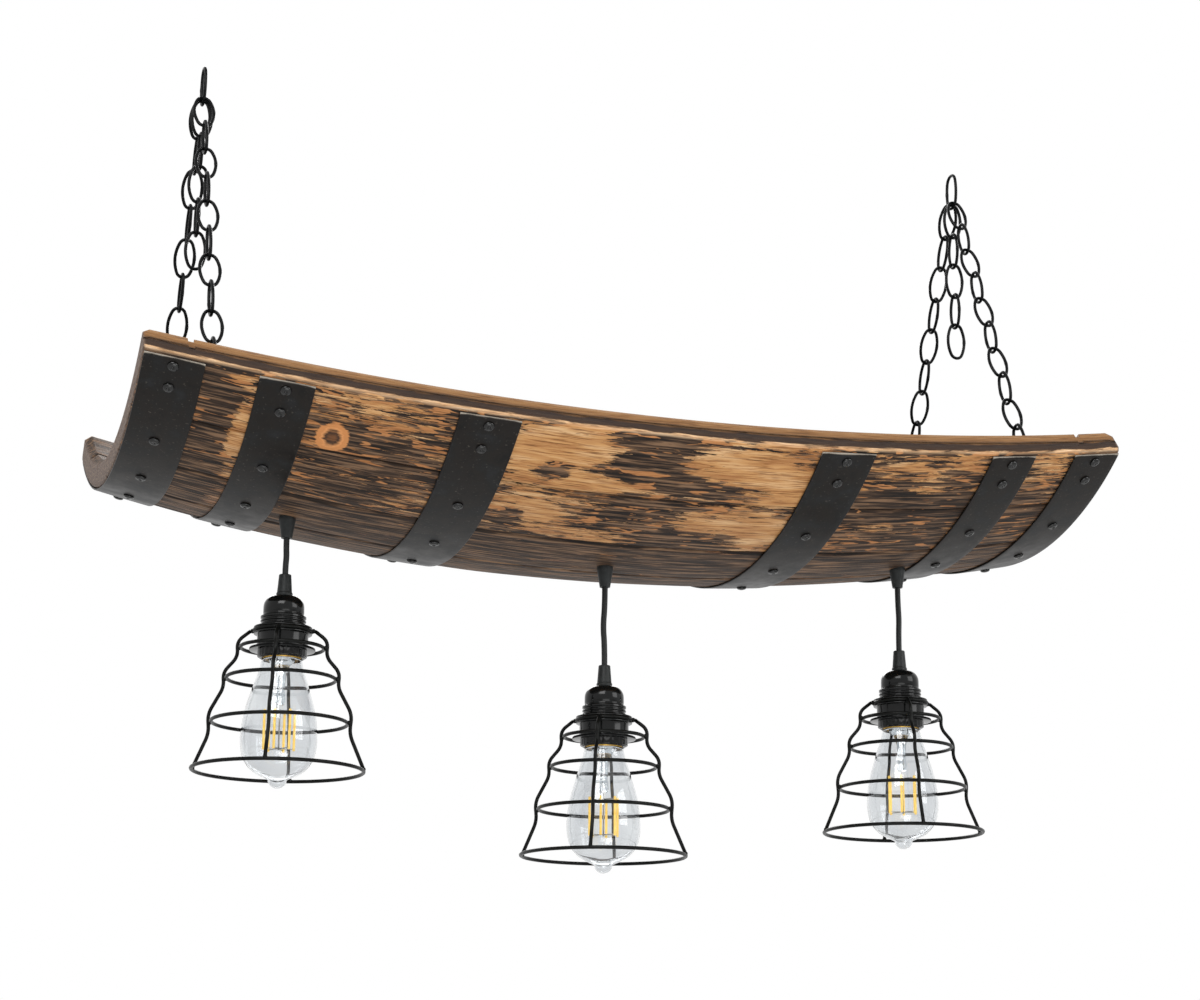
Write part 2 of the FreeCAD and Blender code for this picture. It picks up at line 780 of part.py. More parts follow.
def cover_screw_places():
    """Plan places of the cover's two screws, in the middle of the box's lugs."""
    inset = box_sheet + box_lug / 2
    corner = box_corner()
    return [(corner.x + inset, corner.y + inset), (corner.x + box_size[0] - inset, -corner.y - inset)]


def box_screw_solids(screw):
    """Wood screws in the box's floor and short-set screws in its cover."""
    corner = box_corner()
    floor = corner.z + box_sheet + seat_clearance
    lid = corner.z + box_size[2] + box_sheet + seat_clearance
    screws = [aimed(screw, V(x, y, floor), UP) for x, y in box_screw_places()]
    return screws + [aimed(screw, V(x, y, lid), UP) for x, y in cover_screw_places()]


def wire_nut_solids():
    """Three tapered twist-on caps that join the wires, lying on the box's floor."""
    corner = box_corner()
    level = corner.z + box_sheet + nut_cap_radius + seat_clearance
    cone = Part.makeCone(nut_cap_radius, nut_tip_radius, nut_cap_length)
    step = 2 * nut_cap_radius + nut_cap_gap
    return [aimed(cone, V(box_middle - nut_cap_length / 2, i * step, level), ALONG) for i in (-1, 0, 1)]


def clip_solids():
    """Saddle clips that hold the long cable on the trough's floor, each in the middle of a run."""
    inner = cord_radius + bore_clearance
    outer = inner + clip_sheet
    half = clip_width / 2
    sole = -cord_radius
    arch = Part.makeCylinder(outer, clip_width, ALONG * -half, ALONG)
    feet = Part.makeBox(clip_width, 2 * (outer + clip_foot), clip_sheet, V(-half, -outer - clip_foot, sole))
    below = Part.makeBox(2 * clip_width, 4 * outer, 2 * outer, V(-clip_width, -2 * outer, sole - 2 * outer))
    bore = Part.makeCylinder(inner, 2 * clip_width, ALONG * -clip_width, ALONG)
    slot = Part.makeBox(2 * clip_width, 2 * inner, 2 * inner, V(-clip_width, -inner, -2 * inner))
    saddle = arch.fuse(feet).cut([below, bore, slot])
    solids = []
    for start, end in zip(wire_routes()["left"][2:4], wire_routes()["left"][3:5]):
        copy = saddle.copy()
        slope = FreeCAD.Rotation(ALONG, end - start)
        lean = FreeCAD.Rotation(ALONG, math.degrees(math.asin(start.y / meridian(start.x, stave_thickness))))
        copy.Placement = FreeCAD.Placement((start + end) * 0.5, slope.multiply(lean))
        solids.append(copy)
    return solids


def main():
    os.makedirs("parts", exist_ok=True)
    link = link_solid(link_inner_width, link_end_radius)
    hanger = link_solid(hanger_inner_width, hanger_end_radius)
    screw = screw_solid()

    # Panel
    drill = screw_holes() + eye_holes()
    for x, y in pendant_places().values():
        drill += gland_holes(x, y)
    floor = box_corner().z
    drill += [Part.makeCylinder(screw_shank_radius + pilot_clearance, screw_length + drill_lead,
                                V(x, y, floor + box_sheet - screw_length)) for x, y in box_screw_places()]
    profile = stave_profile()
    for number in range(1, stave_count + 1):
        plank = barrel_turn(profile, *stave_span(number))
        near = [cutter for cutter in drill if plank.BoundBox.intersect(cutter.BoundBox)]
        save("stave_%d" % number, [plank.cut(near)])
    for name, (x_from, x_to) in hoop_spans().items():
        band = hoop_solid(x_from, x_to)
        near = [cutter for cutter in screw_holes() if band.BoundBox.intersect(cutter.BoundBox)]
        save(name, [band.cut(near)])
    save("hoop_screws", [aimed(screw, place, out) for place, out in screw_places()])
    save("screw_eyes", [aimed(eye_solid(), place, inward) for place, inward in eye_places()])
    save("cord_glands", [gland_solid(x, y) for x, y in pendant_places().values()])
    save("gland_locknuts", [locknut_solid(x, y) for x, y in pendant_places().values()])

    # Trough
    tray, cover, bushing = box_solids()
    save("junction_box", [tray])
    save("junction_box_cover", [cover])
    save("inlet_bushing", [bushing])
    save("box_screws", box_screw_solids(screw))
    save("wire_nuts", wire_nut_solids())
    save("panel_wiring", [tube(points, cord_radius, wire_bend) for points in wire_routes().values()])
    save("cable_clips", clip_solids())

    # Chains
    sides = {"left": -hang_half_span, "right": hang_half_span}
    save("hanger_links", [hang_link(hanger, V(x, 0, wire_r), 0, 90) for x in sides.values()])
    for name, x in sides.items():
        front = strand(link, x, -1)
        back = strand(link, x, 1)
        surplus = spare(link, x)
        save("swivel_links_" + name, [front[0], back[0], surplus[0]])
        save("chain_" + name, front[1:] + back[1:])
        save("spare_chain_" + name, surplus[1:])

    # Pendants
    for name, length in free_cord.items():
        exit_point = cord_exit(name)
        mouth = exit_point - UP * length

        def place(node, solids, at=mouth):
            for solid in solids:
                solid.translate(at)
            save(node + "_" + name, solids)

        place("pendant_cord", [cord_solid(length)], exit_point)
        place("cord_grip", [grip_solid()])
        place("holder_cap", [cap_solid()])
        place("lampholder", [holder_solid()])
        place("screw_shell", [shell_solid()])
        place("shade_rings", shade_ring_solids())
        place("wire_cage", cage_solids(cage_turn[name]))
        place("bulb_glass", [glass_solid()])
        place("bulb_cap", [bulb_cap_solid()])
        place("bulb_filaments", [filament_solid()])
        print("pendant", name, "exit", exit_point, "grip mouth", mouth)
    print("barrel axis", axis_z, "eye ring", eye_y, eye_z, "swing axis", turn_z)
    print("sway axis", sway_z, "spare sway axis", spare_sway_z)


main()
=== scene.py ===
"""Looks of a barrel chandelier: a panel of charred staves on two forked chains, with three caged bulbs.

Lengths in the functions are millimetres and angles are degrees, as on a workshop drawing. Meshes are put
into Blender in metres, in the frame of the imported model. Barrel angles run from straight down, positive
towards the front.
"""

import math

import bmesh
import bpy
import numpy as np
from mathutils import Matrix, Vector


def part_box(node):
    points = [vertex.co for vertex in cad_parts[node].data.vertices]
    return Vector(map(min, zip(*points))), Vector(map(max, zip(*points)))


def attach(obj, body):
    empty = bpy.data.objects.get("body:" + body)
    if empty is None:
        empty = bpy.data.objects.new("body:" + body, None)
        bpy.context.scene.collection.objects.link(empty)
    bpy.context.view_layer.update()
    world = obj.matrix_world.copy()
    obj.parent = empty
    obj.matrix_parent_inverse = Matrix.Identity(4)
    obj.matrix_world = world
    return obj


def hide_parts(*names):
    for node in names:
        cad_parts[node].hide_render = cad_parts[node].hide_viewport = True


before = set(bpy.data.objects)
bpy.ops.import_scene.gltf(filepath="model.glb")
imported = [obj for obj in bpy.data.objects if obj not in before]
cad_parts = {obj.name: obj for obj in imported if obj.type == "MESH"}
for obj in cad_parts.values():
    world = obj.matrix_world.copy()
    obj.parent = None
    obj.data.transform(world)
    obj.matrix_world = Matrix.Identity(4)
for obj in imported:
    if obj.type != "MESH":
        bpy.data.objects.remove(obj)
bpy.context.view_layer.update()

bl_info = {
    "name": "Barrel chandelier",
    "version": (1, 0, 0),
    "blender": (4, 5, 0),
    "location": "3D View > Sidebar > Chandelier",
    "description": "Dresses a hanging barrel-stave panel with three caged filament bulbs",
    "category": "Object",
}

MM = 0.001
PENDANTS = ("left", "middle", "right")
SIDES = ("left", "right")
HOOPS = tuple("%s_hoop_%s" % (kind, side) for kind in ("head", "quarter", "bilge") for side in SIDES)
# Points nearer than the first of these, in metres, are welded, and edges shorter than the second are dropped
WELD = 1e-7
SLIVER = 1e-8
# A rounded corner takes at most this share of the shorter line beside it
CORNER_SHARE = 0.45
NOISE_WAVES = 12


def node_middle(node):
    """Middle of a CAD node's box, in millimetres."""
    low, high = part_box(node)
    return np.array((low + high) / 2) / MM


def node_top(node):
    """Highest level of a CAD node, in millimetres."""
    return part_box(node)[1].z / MM


def node_size(node):
    """Extents of a CAD node's box, in millimetres."""
    low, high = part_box(node)
    return np.array(high - low) / MM


# Settings

def length(name, text, millimetres):
    """A length that a user would change; Blender keeps it in metres."""
    return bpy.props.FloatProperty(name=name, description=text, default=millimetres * MM, unit="LENGTH",
                                   precision=5)


def shade(name, text, code):
    """A colour that a user would change, given as an sRGB hex code."""
    return bpy.props.FloatVectorProperty(name=name, description=text, default=linear(code), size=3,
                                         subtype="COLOR", min=0.0, max=1.0)


def linear(code):
    """Linear RGB of an sRGB hex code: a straight line near black and a power curve above it."""
    parts = np.array([int(code[i:i + 2], 16) for i in (1, 3, 5)]) / 255.0
    return tuple(np.where(parts <= 0.04045, parts / 12.92, ((parts + 0.055) / 1.055) ** 2.4))


class PanelSizes(bpy.types.PropertyGroup):
    """Sizes of the barrel panel and its hoops."""

    stave_length: length("Stave length", "Length of the panel", 880.0)
    stave_thickness: length("Stave thickness", "Thickness of the wood", 27.0)
    stave_count: bpy.props.IntProperty(name="Staves", description="Number of staves side by side", default=6)
    stave_angle: bpy.props.FloatProperty(
        name="Stave angle", description="Share of the barrel's round in one stave",
        default=math.radians(12.6), subtype="ANGLE")
    bilge_radius: length("Bilge radius", "Outer radius of the barrel at its middle", 347.0)
    bilge_rise: length("Bilge rise", "How far the panel's ends rise above its middle", 48.0)
    arris_wear: length("Arris wear", "Rounding of the staves' worn edges", 2.2)
    grain_relief: length("Grain relief", "Depth of the brushed-out grain", 0.5)
    hoop_thickness: length("Hoop thickness", "Thickness of the strip steel", 1.6)


class ChainSizes(bpy.types.PropertyGroup):
    """Sizes of the chain's links."""

    wire: length("Wire", "Diameter of the links' wire", 3.0)
    inner_length: length("Inner length", "Length of the opening in a link", 31.5)
    inner_width: length("Inner width", "Width of the opening in a link", 14.4)
    end_radius: length("End radius", "Inner radius of a link's ends", 4.8)
    hanger_width: length("Hanger width", "Width of the opening in a hanger link", 16.0)
    hanger_radius: length("Hanger radius", "Inner radius of a hanger link's ends", 7.0)
    play: length("Play", "Slack where two links meet", 0.3)
    strand_lean: bpy.props.FloatProperty(
        name="Strand lean", description="Lean of the strands from straight down",
        default=math.radians(22.549), subtype="ANGLE")
    weld_swell: length("Weld swell", "Thickening of the wire at a link's weld", 0.25)


class LampSizes(bpy.types.PropertyGroup):
    """Sizes of the pendants that have no CAD box of their own."""

    cord: length("Cord", "Diameter of the pendant cords", 5.2)
    cage_wire: length("Cage wire", "Diameter of the cage's wire", 3.2)
    weld_bead: length("Weld bead", "Radius of the beads where wires cross", 2.1)
    knurl: length("Knurl", "Depth of the ribs on the shade ring's nut", 0.5)


class FinishColours(bpy.types.PropertyGroup):
    """Main colours of the finishes."""

    bare_oak: shade("Bare oak", "Brushed oak where the char is gone", "#B98B58")
    toast: shade("Toasted oak", "Bare oak of the darker staves", "#7C573F")
    char: shade("Char", "Burnt wood", "#312319")
    steel: shade("Hoop steel", "Blackened strip steel", "#131211")
    black: shade("Black enamel", "Enamel of the chains", "#0D0E0F")
    filament: shade("Filament", "Phosphor coating of the filaments", "#F9D26A")


class StageSettings(bpy.types.PropertyGroup):
    """Camera and light."""

    camera_place: bpy.props.FloatVectorProperty(
        name="Camera place", description="Where the camera stands",
        default=(-0.697, -2.023, -0.906), subtype="TRANSLATION")
    camera_turn: bpy.props.FloatVectorProperty(
        name="Camera turn", description="Turn of the camera about X, Y and Z",
        default=tuple(np.radians((104.18, -0.36, -19.24))), subtype="EULER")
    camera_lens: bpy.props.FloatProperty(
        name="Lens", description="Focal length in millimetres on a 36 mm sensor", default=72.6)
    sky: bpy.props.FloatProperty(
        name="Sky", description="Strength of the even light from all round", default=0.6)
    floor_drop: length("Floor drop", "Depth of the floor below the hang points", 2000.0)


# Barrel geometry

class Barrel:
    """Places on the barrel that the panel was cut from, worked out from the panel's sizes."""

    def __init__(self, sizes):
        self.half_length = sizes.stave_length / MM / 2
        self.bilge = sizes.bilge_radius / MM
        rise = sizes.bilge_rise / MM
        self.meridian = (self.half_length ** 2 + rise ** 2) / (2 * rise)
        self.stave_angle = math.degrees(sizes.stave_angle)
        self.half_angle = sizes.stave_count * self.stave_angle / 2
        lowest = min(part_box("stave_%d" % i)[0].z for i in range(1, sizes.stave_count + 1)) / MM
        self.axis = lowest + self.bilge

    def radius(self, x, depth):
        """Distance from the barrel axis at x of the surface that lies depth inside the outer face."""
        return self.bilge - self.meridian + np.sqrt((self.meridian - depth) ** 2 - np.square(x))

    def place(self, x, depth, angle):
        """Points at x, depth inside the outer face and angle from straight down, as whole arrays."""
        turn = np.radians(angle)
        r = self.radius(x, depth)
        return np.stack(np.broadcast_arrays(x, -r * np.sin(turn), self.axis - r * np.cos(turn)), -1)

    def outward(self, x, angle):
        """Unit vectors that point out of the barrel."""
        tilt = np.arcsin(np.asarray(x) / self.meridian)
        turn = np.radians(angle)
        return np.stack(np.broadcast_arrays(np.sin(tilt), -np.cos(tilt) * np.sin(turn),
                                            -np.cos(tilt) * np.cos(turn)), -1)


# Surfaces

def skin(points, wrap_rows=False, wrap_columns=False):
    """Points and quads of a grid: each point is joined to the next in its row and column.

    The quads are turned round if the volume that they enclose comes out negative.
    """
    rows, columns = points.shape[:2]
    number = np.arange(rows * columns).reshape(rows, columns)
    below = np.roll(number, -1, 0)
    beside = np.roll(number, -1, 1)
    across = np.roll(below, -1, 1)
    quads = np.stack([number, beside, across, below], -1)
    last_row = rows if wrap_rows else rows - 1
    last_column = columns if wrap_columns else columns - 1
    quads = quads[:last_row, :last_column].reshape(-1, 4)
    flat = points.reshape(-1, 3)
    corner = flat[quads] - flat.mean(0)
    area = np.cross(corner[:, 2] - corner[:, 0], corner[:, 3] - corner[:, 1])
    if np.einsum("ij,ij->", corner.mean(1), area) < 0:
        quads = quads[:, ::-1]
    return flat, quads


def rounded(outline, radius, steps=4, closed=False):
    """Outline whose corners are replaced by parabolas that start and end radius away from the corner."""
    points = np.asarray(outline, float)
    before = np.roll(points, 1, 0) - points
    after = np.roll(points, -1, 0) - points
    reach_before = np.linalg.norm(before, axis=1, keepdims=True)
    reach_after = np.linalg.norm(after, axis=1, keepdims=True)
    reach = np.minimum(radius, CORNER_SHARE * np.minimum(reach_before, reach_after))
    enter = points + before / reach_before * reach
    leave = points + after / reach_after * reach
    t = np.linspace(0, 1, steps)[None, :, None]
    bend = (1 - t) ** 2 * enter[:, None] + 2 * t * (1 - t) * points[:, None] + t ** 2 * leave[:, None]
    if closed:
        return bend.reshape(-1, points.shape[1])
    return np.concatenate([points[:1], bend[1:-1].reshape(-1, points.shape[1]), points[-1:]])


def flowing(points, steps):
    """Smooth curve: cubic pieces that pass through the points with the slope of their neighbours."""
    p = np.asarray(points, float)
    slope = np.gradient(p, axis=0)
    t = np.linspace(0, 1, steps, endpoint=False)[None, :, None]
    a, b, m, n = p[:-1, None], p[1:, None], slope[:-1, None], slope[1:, None]
    curve = ((2 * t ** 3 - 3 * t ** 2 + 1) * a + (t ** 3 - 2 * t ** 2 + t) * m
             + (3 * t ** 2 - 2 * t ** 3) * b + (t ** 3 - t ** 2) * n)
    return np.concatenate([curve.reshape(-1, p.shape[1]), p[-1:]])


def turned(profile, sides, ribs=0, rib_depth=None):
    """Surface of revolution about Z of (radius, height) points.

    Ribs cut into the radius by a cosine of the angle, down to rib_depth.
    """
    profile = np.asarray(profile, float)
    turn = np.linspace(0, 2 * np.pi, sides, endpoint=False)[None, :]
    r = profile[:, :1] + np.zeros_like(turn)
    if ribs:
        r = r + np.asarray(rib_depth)[:, None] * 0.5 * (np.cos(ribs * turn) - 1)
    z = profile[:, 1:] + np.zeros_like(turn)
    return skin(np.stack([r * np.cos(turn), r * np.sin(turn), z], -1), wrap_columns=True)


def wire(path, across, radius, sides=10, closed=False):
    """Round bar along a flat path: circles in the plane of the path's own normal and the plane's normal."""
    path = np.asarray(path, float)
    if closed:
        ahead = np.roll(path, -1, 0) - np.roll(path, 1, 0)
    else:
        ahead = np.gradient(path, axis=0)
    ahead = ahead / np.linalg.norm(ahead, axis=1, keepdims=True)
    aside = np.cross(np.asarray(across, float), ahead)
    r = np.broadcast_to(radius, len(path)).astype(float)
    if not closed:
        path, ahead, aside = (np.concatenate([a[:1], a, a[-1:]]) for a in (path, ahead, aside))
        r = np.concatenate([[0.0], r, [0.0]])
    turn = np.linspace(0, 2 * np.pi, sides, endpoint=False)
    rim = aside[:, None] * np.cos(turn)[:, None] + np.asarray(across, float) * np.sin(turn)[:, None]
    return skin(path[:, None] + rim * r[:, None, None], wrap_rows=closed, wrap_columns=True)


def ring(radius, height, thickness, segments=96, sides=10):
    """Round wire bent to a circle about Z."""
    turn = np.linspace(0, 2 * np.pi, segments, endpoint=False)
    path = np.stack([radius * np.cos(turn), radius * np.sin(turn), np.full(segments, height)], -1)
    return wire(path, (0, 0, 1), thickness / 2, sides, closed=True)


def bead(radius, sides=10):
    """Small round blob of weld metal: a sphere as a half circle turned about Z."""
    turn = np.linspace(-np.pi / 2, np.pi / 2, 7)
    return turned(np.stack([radius * np.cos(turn), radius * np.sin(turn)], -1), sides)


def moved(surface, offset=(0, 0, 0), turn=None):
    """Surface turned by a matrix and then shifted."""
    points, quads = surface
    if turn is not None:
        points = points @ np.asarray(turn).T
    return points + np.asarray(offset, float), quads


def about(axis, angle):
    """Rotation matrix about X or Z."""
    c = math.cos(math.radians(angle))
    s = math.sin(math.radians(angle))
    i, j = {"X": (1, 2), "Z": (0, 1)}[axis]
    matrix = np.eye(3)
    matrix[i, i] = matrix[j, j] = c
    matrix[i, j] = -s
    matrix[j, i] = s
    return matrix


def upright_to(direction):
    """Rotation matrix that takes +Z to a direction."""
    return np.array(Vector((0, 0, 1)).rotation_difference(Vector(direction)).to_matrix())


def piece(name, parts, body, node, materials, fields=None):
    """Mesh object of several surfaces, welded at their seams and poles, that stands for a CAD node.

    Parts are (surface, index of its material). Fields are values kept on the points for the materials.
    """
    starts = np.cumsum([0] + [len(surface[0]) for surface, _ in parts])
    points = np.concatenate([surface[0] for surface, _ in parts]) * MM
    quads = np.concatenate([surface[1] + start for (surface, _), start in zip(parts, starts)])
    mesh = bpy.data.meshes.new(name)
    mesh.from_pydata(points, [], quads.tolist())
    finish_of = np.concatenate([np.full(len(surface[1]), index) for surface, index in parts])
    mesh.polygons.foreach_set("material_index", finish_of.astype(np.int32))
    for field, values in (fields or {}).items():
        kind = "FLOAT_VECTOR" if values.ndim == 2 else "FLOAT"
        layer = mesh.attributes.new(field, kind, "POINT")
        layer.data.foreach_set("vector" if values.ndim == 2 else "value", values.astype(np.float32).ravel())
    for material in materials:
        mesh.materials.append(material)
    work = bmesh.new()
    work.from_mesh(mesh)
    bmesh.ops.remove_doubles(work, verts=work.verts, dist=WELD)
    bmesh.ops.dissolve_degenerate(work, dist=SLIVER, edges=work.edges)
    work.to_mesh(mesh)
    work.free()
    mesh.shade_smooth()
    made = bpy.data.objects.new(name, mesh)
    bpy.context.scene.collection.objects.link(made)
    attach(made, body)
    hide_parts(node)


def dress(nodes, material):
    """Put a material on every slot of CAD nodes that stay in view."""
    for node in nodes:
        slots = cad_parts[node].material_slots
        if not slots:
            raise RuntimeError("CAD node %s has no material slot" % node)
        for place in slots:
            place.link = "DATA"
            place.material = material


def even_noise(u, v, seed):
    """Smooth noise, nearly always from -1 to 1: plane waves with seeded directions and phases, added up."""
    dice = np.random.default_rng(seed)
    waves = dice.normal(size=(NOISE_WAVES, 2))
    phase = dice.uniform(0, 2 * np.pi, NOISE_WAVES)
    total = sum(np.sin(a * u + b * v + p) for (a, b), p in zip(waves, phase))
    return total / (NOISE_WAVES / 2)


# Materials

def feed(tree, node, links):
    """Give a node's inputs what links maps them to: a socket that feeds the input, or a plain value."""
    for name, value in links.items():
        if isinstance(value, bpy.types.NodeSocket):
            tree.links.new(value, node.inputs[name])
        else:
            node.inputs[name].default_value = value


def add(tree, kind, links=None, stops=(), out=None, **settings):
    """Add a node with its settings and links, and give its output of that name or its first one in use.

    Stops of (position, colour) fill a colour ramp; a colour is a hex code or linear RGB.
    """
    node = tree.nodes.new(kind)
    for name, value in settings.items():
        setattr(node, name, value)
    feed(tree, node, links or {})
    for i, (position, colour) in enumerate(stops):
        marks = node.color_ramp.elements
        mark = marks[i] if i < len(marks) else marks.new(position)
        mark.position = position
        mark.color = (*(linear(colour) if isinstance(colour, str) else colour), 1.0)
    if out:
        return node.outputs[out]
    return next((socket for socket in node.outputs if socket.enabled), None)


def blank_material(name):
    """New material with a surface shader; gives its node tree and that shader."""
    material = bpy.data.materials.new(name)
    material.use_nodes = True
    tree = material.node_tree
    return material, tree, tree.nodes["Principled BSDF"]


def per_metre(*millimetres):
    """Pattern scale, in repeats per metre, of features with these real sizes."""
    return tuple(1.0 / (size * MM) for size in millimetres)


def charred_oak(colours):
    """Barrel oak, burnt, wire-brushed and oiled: crisp flakes of char along the grain, honey where bare."""
    material, tree, shader = blank_material("brushed_charred_oak")
    grain = add(tree, "ShaderNodeAttribute", out="Vector", attribute_name="grain")
    burn, stain, sawn, tip, knot = (add(tree, "ShaderNodeAttribute", out="Fac", attribute_name=name)
                                    for name in ("burn", "stain", "sawn", "tip", "knot"))

    def figure(sizes, detail, twist):
        """Figure of the wood: noise with these real sizes along, across and through the grain."""
        scaled = add(tree, "ShaderNodeMapping", {"Vector": grain, "Scale": per_metre(*sizes)})
        return add(tree, "ShaderNodeTexNoise", {"Vector": scaled, "Scale": 1.0, "Detail": detail,
                                                "Roughness": 0.62, "Distortion": twist})

    scorch = figure((120.0, 26.0, 26.0), 4.0, 0.4)
    flakes = figure((34.0, 4.6, 4.6), 5.0, 0.5)
    # Torn fibres are about 0.4 mm wide, too fine to show, so they are drawn 1.3 mm wide
    threads = figure((26.0, 1.3, 1.3), 3.0, 0.2)
    tone = figure((80.0, 12.0, 12.0), 2.0, 0.3)
    streaks = figure((55.0, 3.4, 3.4), 3.0, 0.4)
    chips = figure((36.0, 6.4, 6.4), 1.8, 1.1)
    # Char stays where the burn and three sizes of figure add up past a sharp limit
    level = burn
    for pattern, weight in ((scorch, 0.6), (flakes, 1.5), (threads, 0.9)):
        level = add(tree, "ShaderNodeMath", {0: pattern, 1: weight, 2: level}, operation="MULTIPLY_ADD")
    charred = add(tree, "ShaderNodeMapRange", {"Value": level, "From Min": 1.42, "From Max": 1.47},
                  interpolation_type="SMOOTHSTEP")
    # Bare wood is honey, or brown on the toasted staves, with dark lines between its fibres
    bare = add(tree, "ShaderNodeValToRGB", {"Fac": tone},
               ((0.34, "#A17144"), (0.5, colours.bare_oak), (0.66, "#CBA67A")))
    lines = add(tree, "ShaderNodeValToRGB", {"Fac": threads},
                ((0.34, "#5E3C26"), (0.44, "#D2BCA4"), (0.54, "#FFFFFF")))
    toasted = add(tree, "ShaderNodeMix", {"Factor": stain, "A": bare, "B": (*colours.toast, 1.0)},
                  data_type="RGBA")
    honey = add(tree, "ShaderNodeMix", {"Factor": 0.72, "A": toasted, "B": lines},
                data_type="RGBA", blend_type="MULTIPLY")
    # Char is streaked from soot to dark brown
    soot = add(tree, "ShaderNodeValToRGB", {"Fac": streaks},
               ((0.37, "#120C08"), (0.49, colours.char), (0.64, "#765B44")))
    # Islands where the char has flaked off whole, fewer on the toasted staves and where it is burnt deepest
    for field, weight in ((stain, -0.16), (burn, -0.14)):
        chips = add(tree, "ShaderNodeMath", {0: field, 1: weight, 2: chips}, operation="MULTIPLY_ADD")
    flaked = add(tree, "ShaderNodeMapRange", {"Value": chips, "From Min": 0.57, "From Max": 0.595})
    fresh = add(tree, "ShaderNodeMix", {"Factor": 0.5, "A": (*linear("#A57246"), 1.0), "B": lines},
                data_type="RGBA", blend_type="MULTIPLY")
    crust = add(tree, "ShaderNodeMix", {"Factor": flaked, "A": soot, "B": fresh}, data_type="RGBA")
    burnt = add(tree, "ShaderNodeMix", {"Factor": charred, "A": honey, "B": crust}, data_type="RGBA")
    # The knot has rings with a ragged outline
    ragged = add(tree, "ShaderNodeMath", {0: flakes, 1: 0.7, 2: knot}, operation="MULTIPLY_ADD")
    rings = add(tree, "ShaderNodeValToRGB", {"Fac": ragged},
                ((0.5, "#6A4428"), (0.72, "#35251B"), (0.92, "#C98A55"), (1.0, "#B97C49")))
    inside = add(tree, "ShaderNodeMapRange", {"Value": ragged, "From Min": 1.22, "From Max": 1.3,
                                              "To Min": 1.0, "To Max": 0.0})
    knotted = add(tree, "ShaderNodeMix", {"Factor": inside, "A": burnt, "B": rings}, data_type="RGBA")
    # Long edges: pale at the worn arris as a painted highlight, dark as a painted shadow, brown towards the
    # inside
    depth = add(tree, "ShaderNodeSeparateXYZ", {"Vector": grain}, out="Z")
    layer = add(tree, "ShaderNodeMath", {0: flakes, 1: 11.0 * MM, 2: depth}, operation="MULTIPLY_ADD")
    share = add(tree, "ShaderNodeMapRange", {"Value": layer, "From Min": 5.5 * MM, "From Max": 32.5 * MM})
    edge = add(tree, "ShaderNodeValToRGB", {"Fac": share},
               ((0.0, "#DFC3A2"), (0.1, "#C09B74"), (0.15, "#3A2A1F"), (0.42, "#2C2019"), (0.58, "#7A5836"),
                (0.95, "#95704A")))
    side = add(tree, "ShaderNodeMix", {"Factor": 0.6, "A": edge, "B": lines},
               data_type="RGBA", blend_type="MULTIPLY")
    trimmed = add(tree, "ShaderNodeMix", {"Factor": sawn, "A": knotted, "B": side}, data_type="RGBA")
    # The tips show end grain, grey brown with open pores
    pores = add(tree, "ShaderNodeValToRGB", {"Fac": figure((9.0, 6.0, 1.4), 4.0, 0.4)},
                ((0.3, "#3A2F2A"), (0.5, "#65554C"), (0.7, "#8C7866")))
    whole = add(tree, "ShaderNodeMix", {"Factor": tip, "A": trimmed, "B": pores}, data_type="RGBA")
    dull = add(tree, "ShaderNodeMapRange", {"Value": charred, "To Min": 0.5, "To Max": 0.62})
    height = add(tree, "ShaderNodeMath", {0: charred, 1: -0.4, 2: threads}, operation="MULTIPLY_ADD")
    relief = add(tree, "ShaderNodeBump", {"Height": height, "Strength": 0.55, "Distance": 0.7 * MM})
    feed(tree, shader, {"Base Color": whole, "Roughness": dull, "Normal": relief, "Specular IOR Level": 0.18})
    return material


def mottled(name, stops, size, roughness, metallic=0.0, specular=0.5, bump=None, worn=None):
    """Finish with soft blotches of colour of a real size, and a roughness range that follows them.

    Bump is the height and the size of a fine unevenness. Worn is the colour that shows through where the
    piece's wear field is high, and in pinprick specks.
    """
    material, tree, shader = blank_material(name)
    place = add(tree, "ShaderNodeTexCoord", out="Object")
    blotch = add(tree, "ShaderNodeTexNoise", {"Vector": place, "Scale": per_metre(size)[0], "Detail": 5.0,
                                              "Roughness": 0.6})
    colour = add(tree, "ShaderNodeValToRGB", {"Fac": blotch}, stops)
    if worn:
        wear = add(tree, "ShaderNodeAttribute", out="Fac", attribute_name="wear")
        rubbed = add(tree, "ShaderNodeMath", {0: blotch, 1: 1.2, 2: wear}, operation="MULTIPLY_ADD")
        shown = add(tree, "ShaderNodeMapRange", {"Value": rubbed, "From Min": 1.2, "From Max": 1.6})
        grit = add(tree, "ShaderNodeTexNoise", {"Vector": place, "Scale": per_metre(2.4)[0], "Detail": 1.0})
        specks = add(tree, "ShaderNodeMapRange", {"Value": grit, "From Min": 0.66, "From Max": 0.82,
                                                  "To Max": 0.16})
        shown = add(tree, "ShaderNodeMath", {0: shown, 1: specks}, operation="MAXIMUM")
        colour = add(tree, "ShaderNodeMix", {"Factor": shown, "A": colour, "B": (*linear(worn), 1.0)},
                     data_type="RGBA")
    gloss = add(tree, "ShaderNodeMapRange", {"Value": blotch, "From Min": 0.3, "From Max": 0.7,
                                             "To Min": roughness[0], "To Max": roughness[1]})
    feed(tree, shader, {"Base Color": colour, "Roughness": gloss, "Metallic": metallic,
                        "Specular IOR Level": specular})
    if bump:
        height, spread = bump
        fine = add(tree, "ShaderNodeTexNoise", {"Vector": place, "Scale": per_metre(spread)[0],
                                                "Detail": 3.0})
        relief = add(tree, "ShaderNodeBump", {"Height": fine, "Strength": 0.4, "Distance": height * MM})
        feed(tree, shader, {"Normal": relief})
    return material


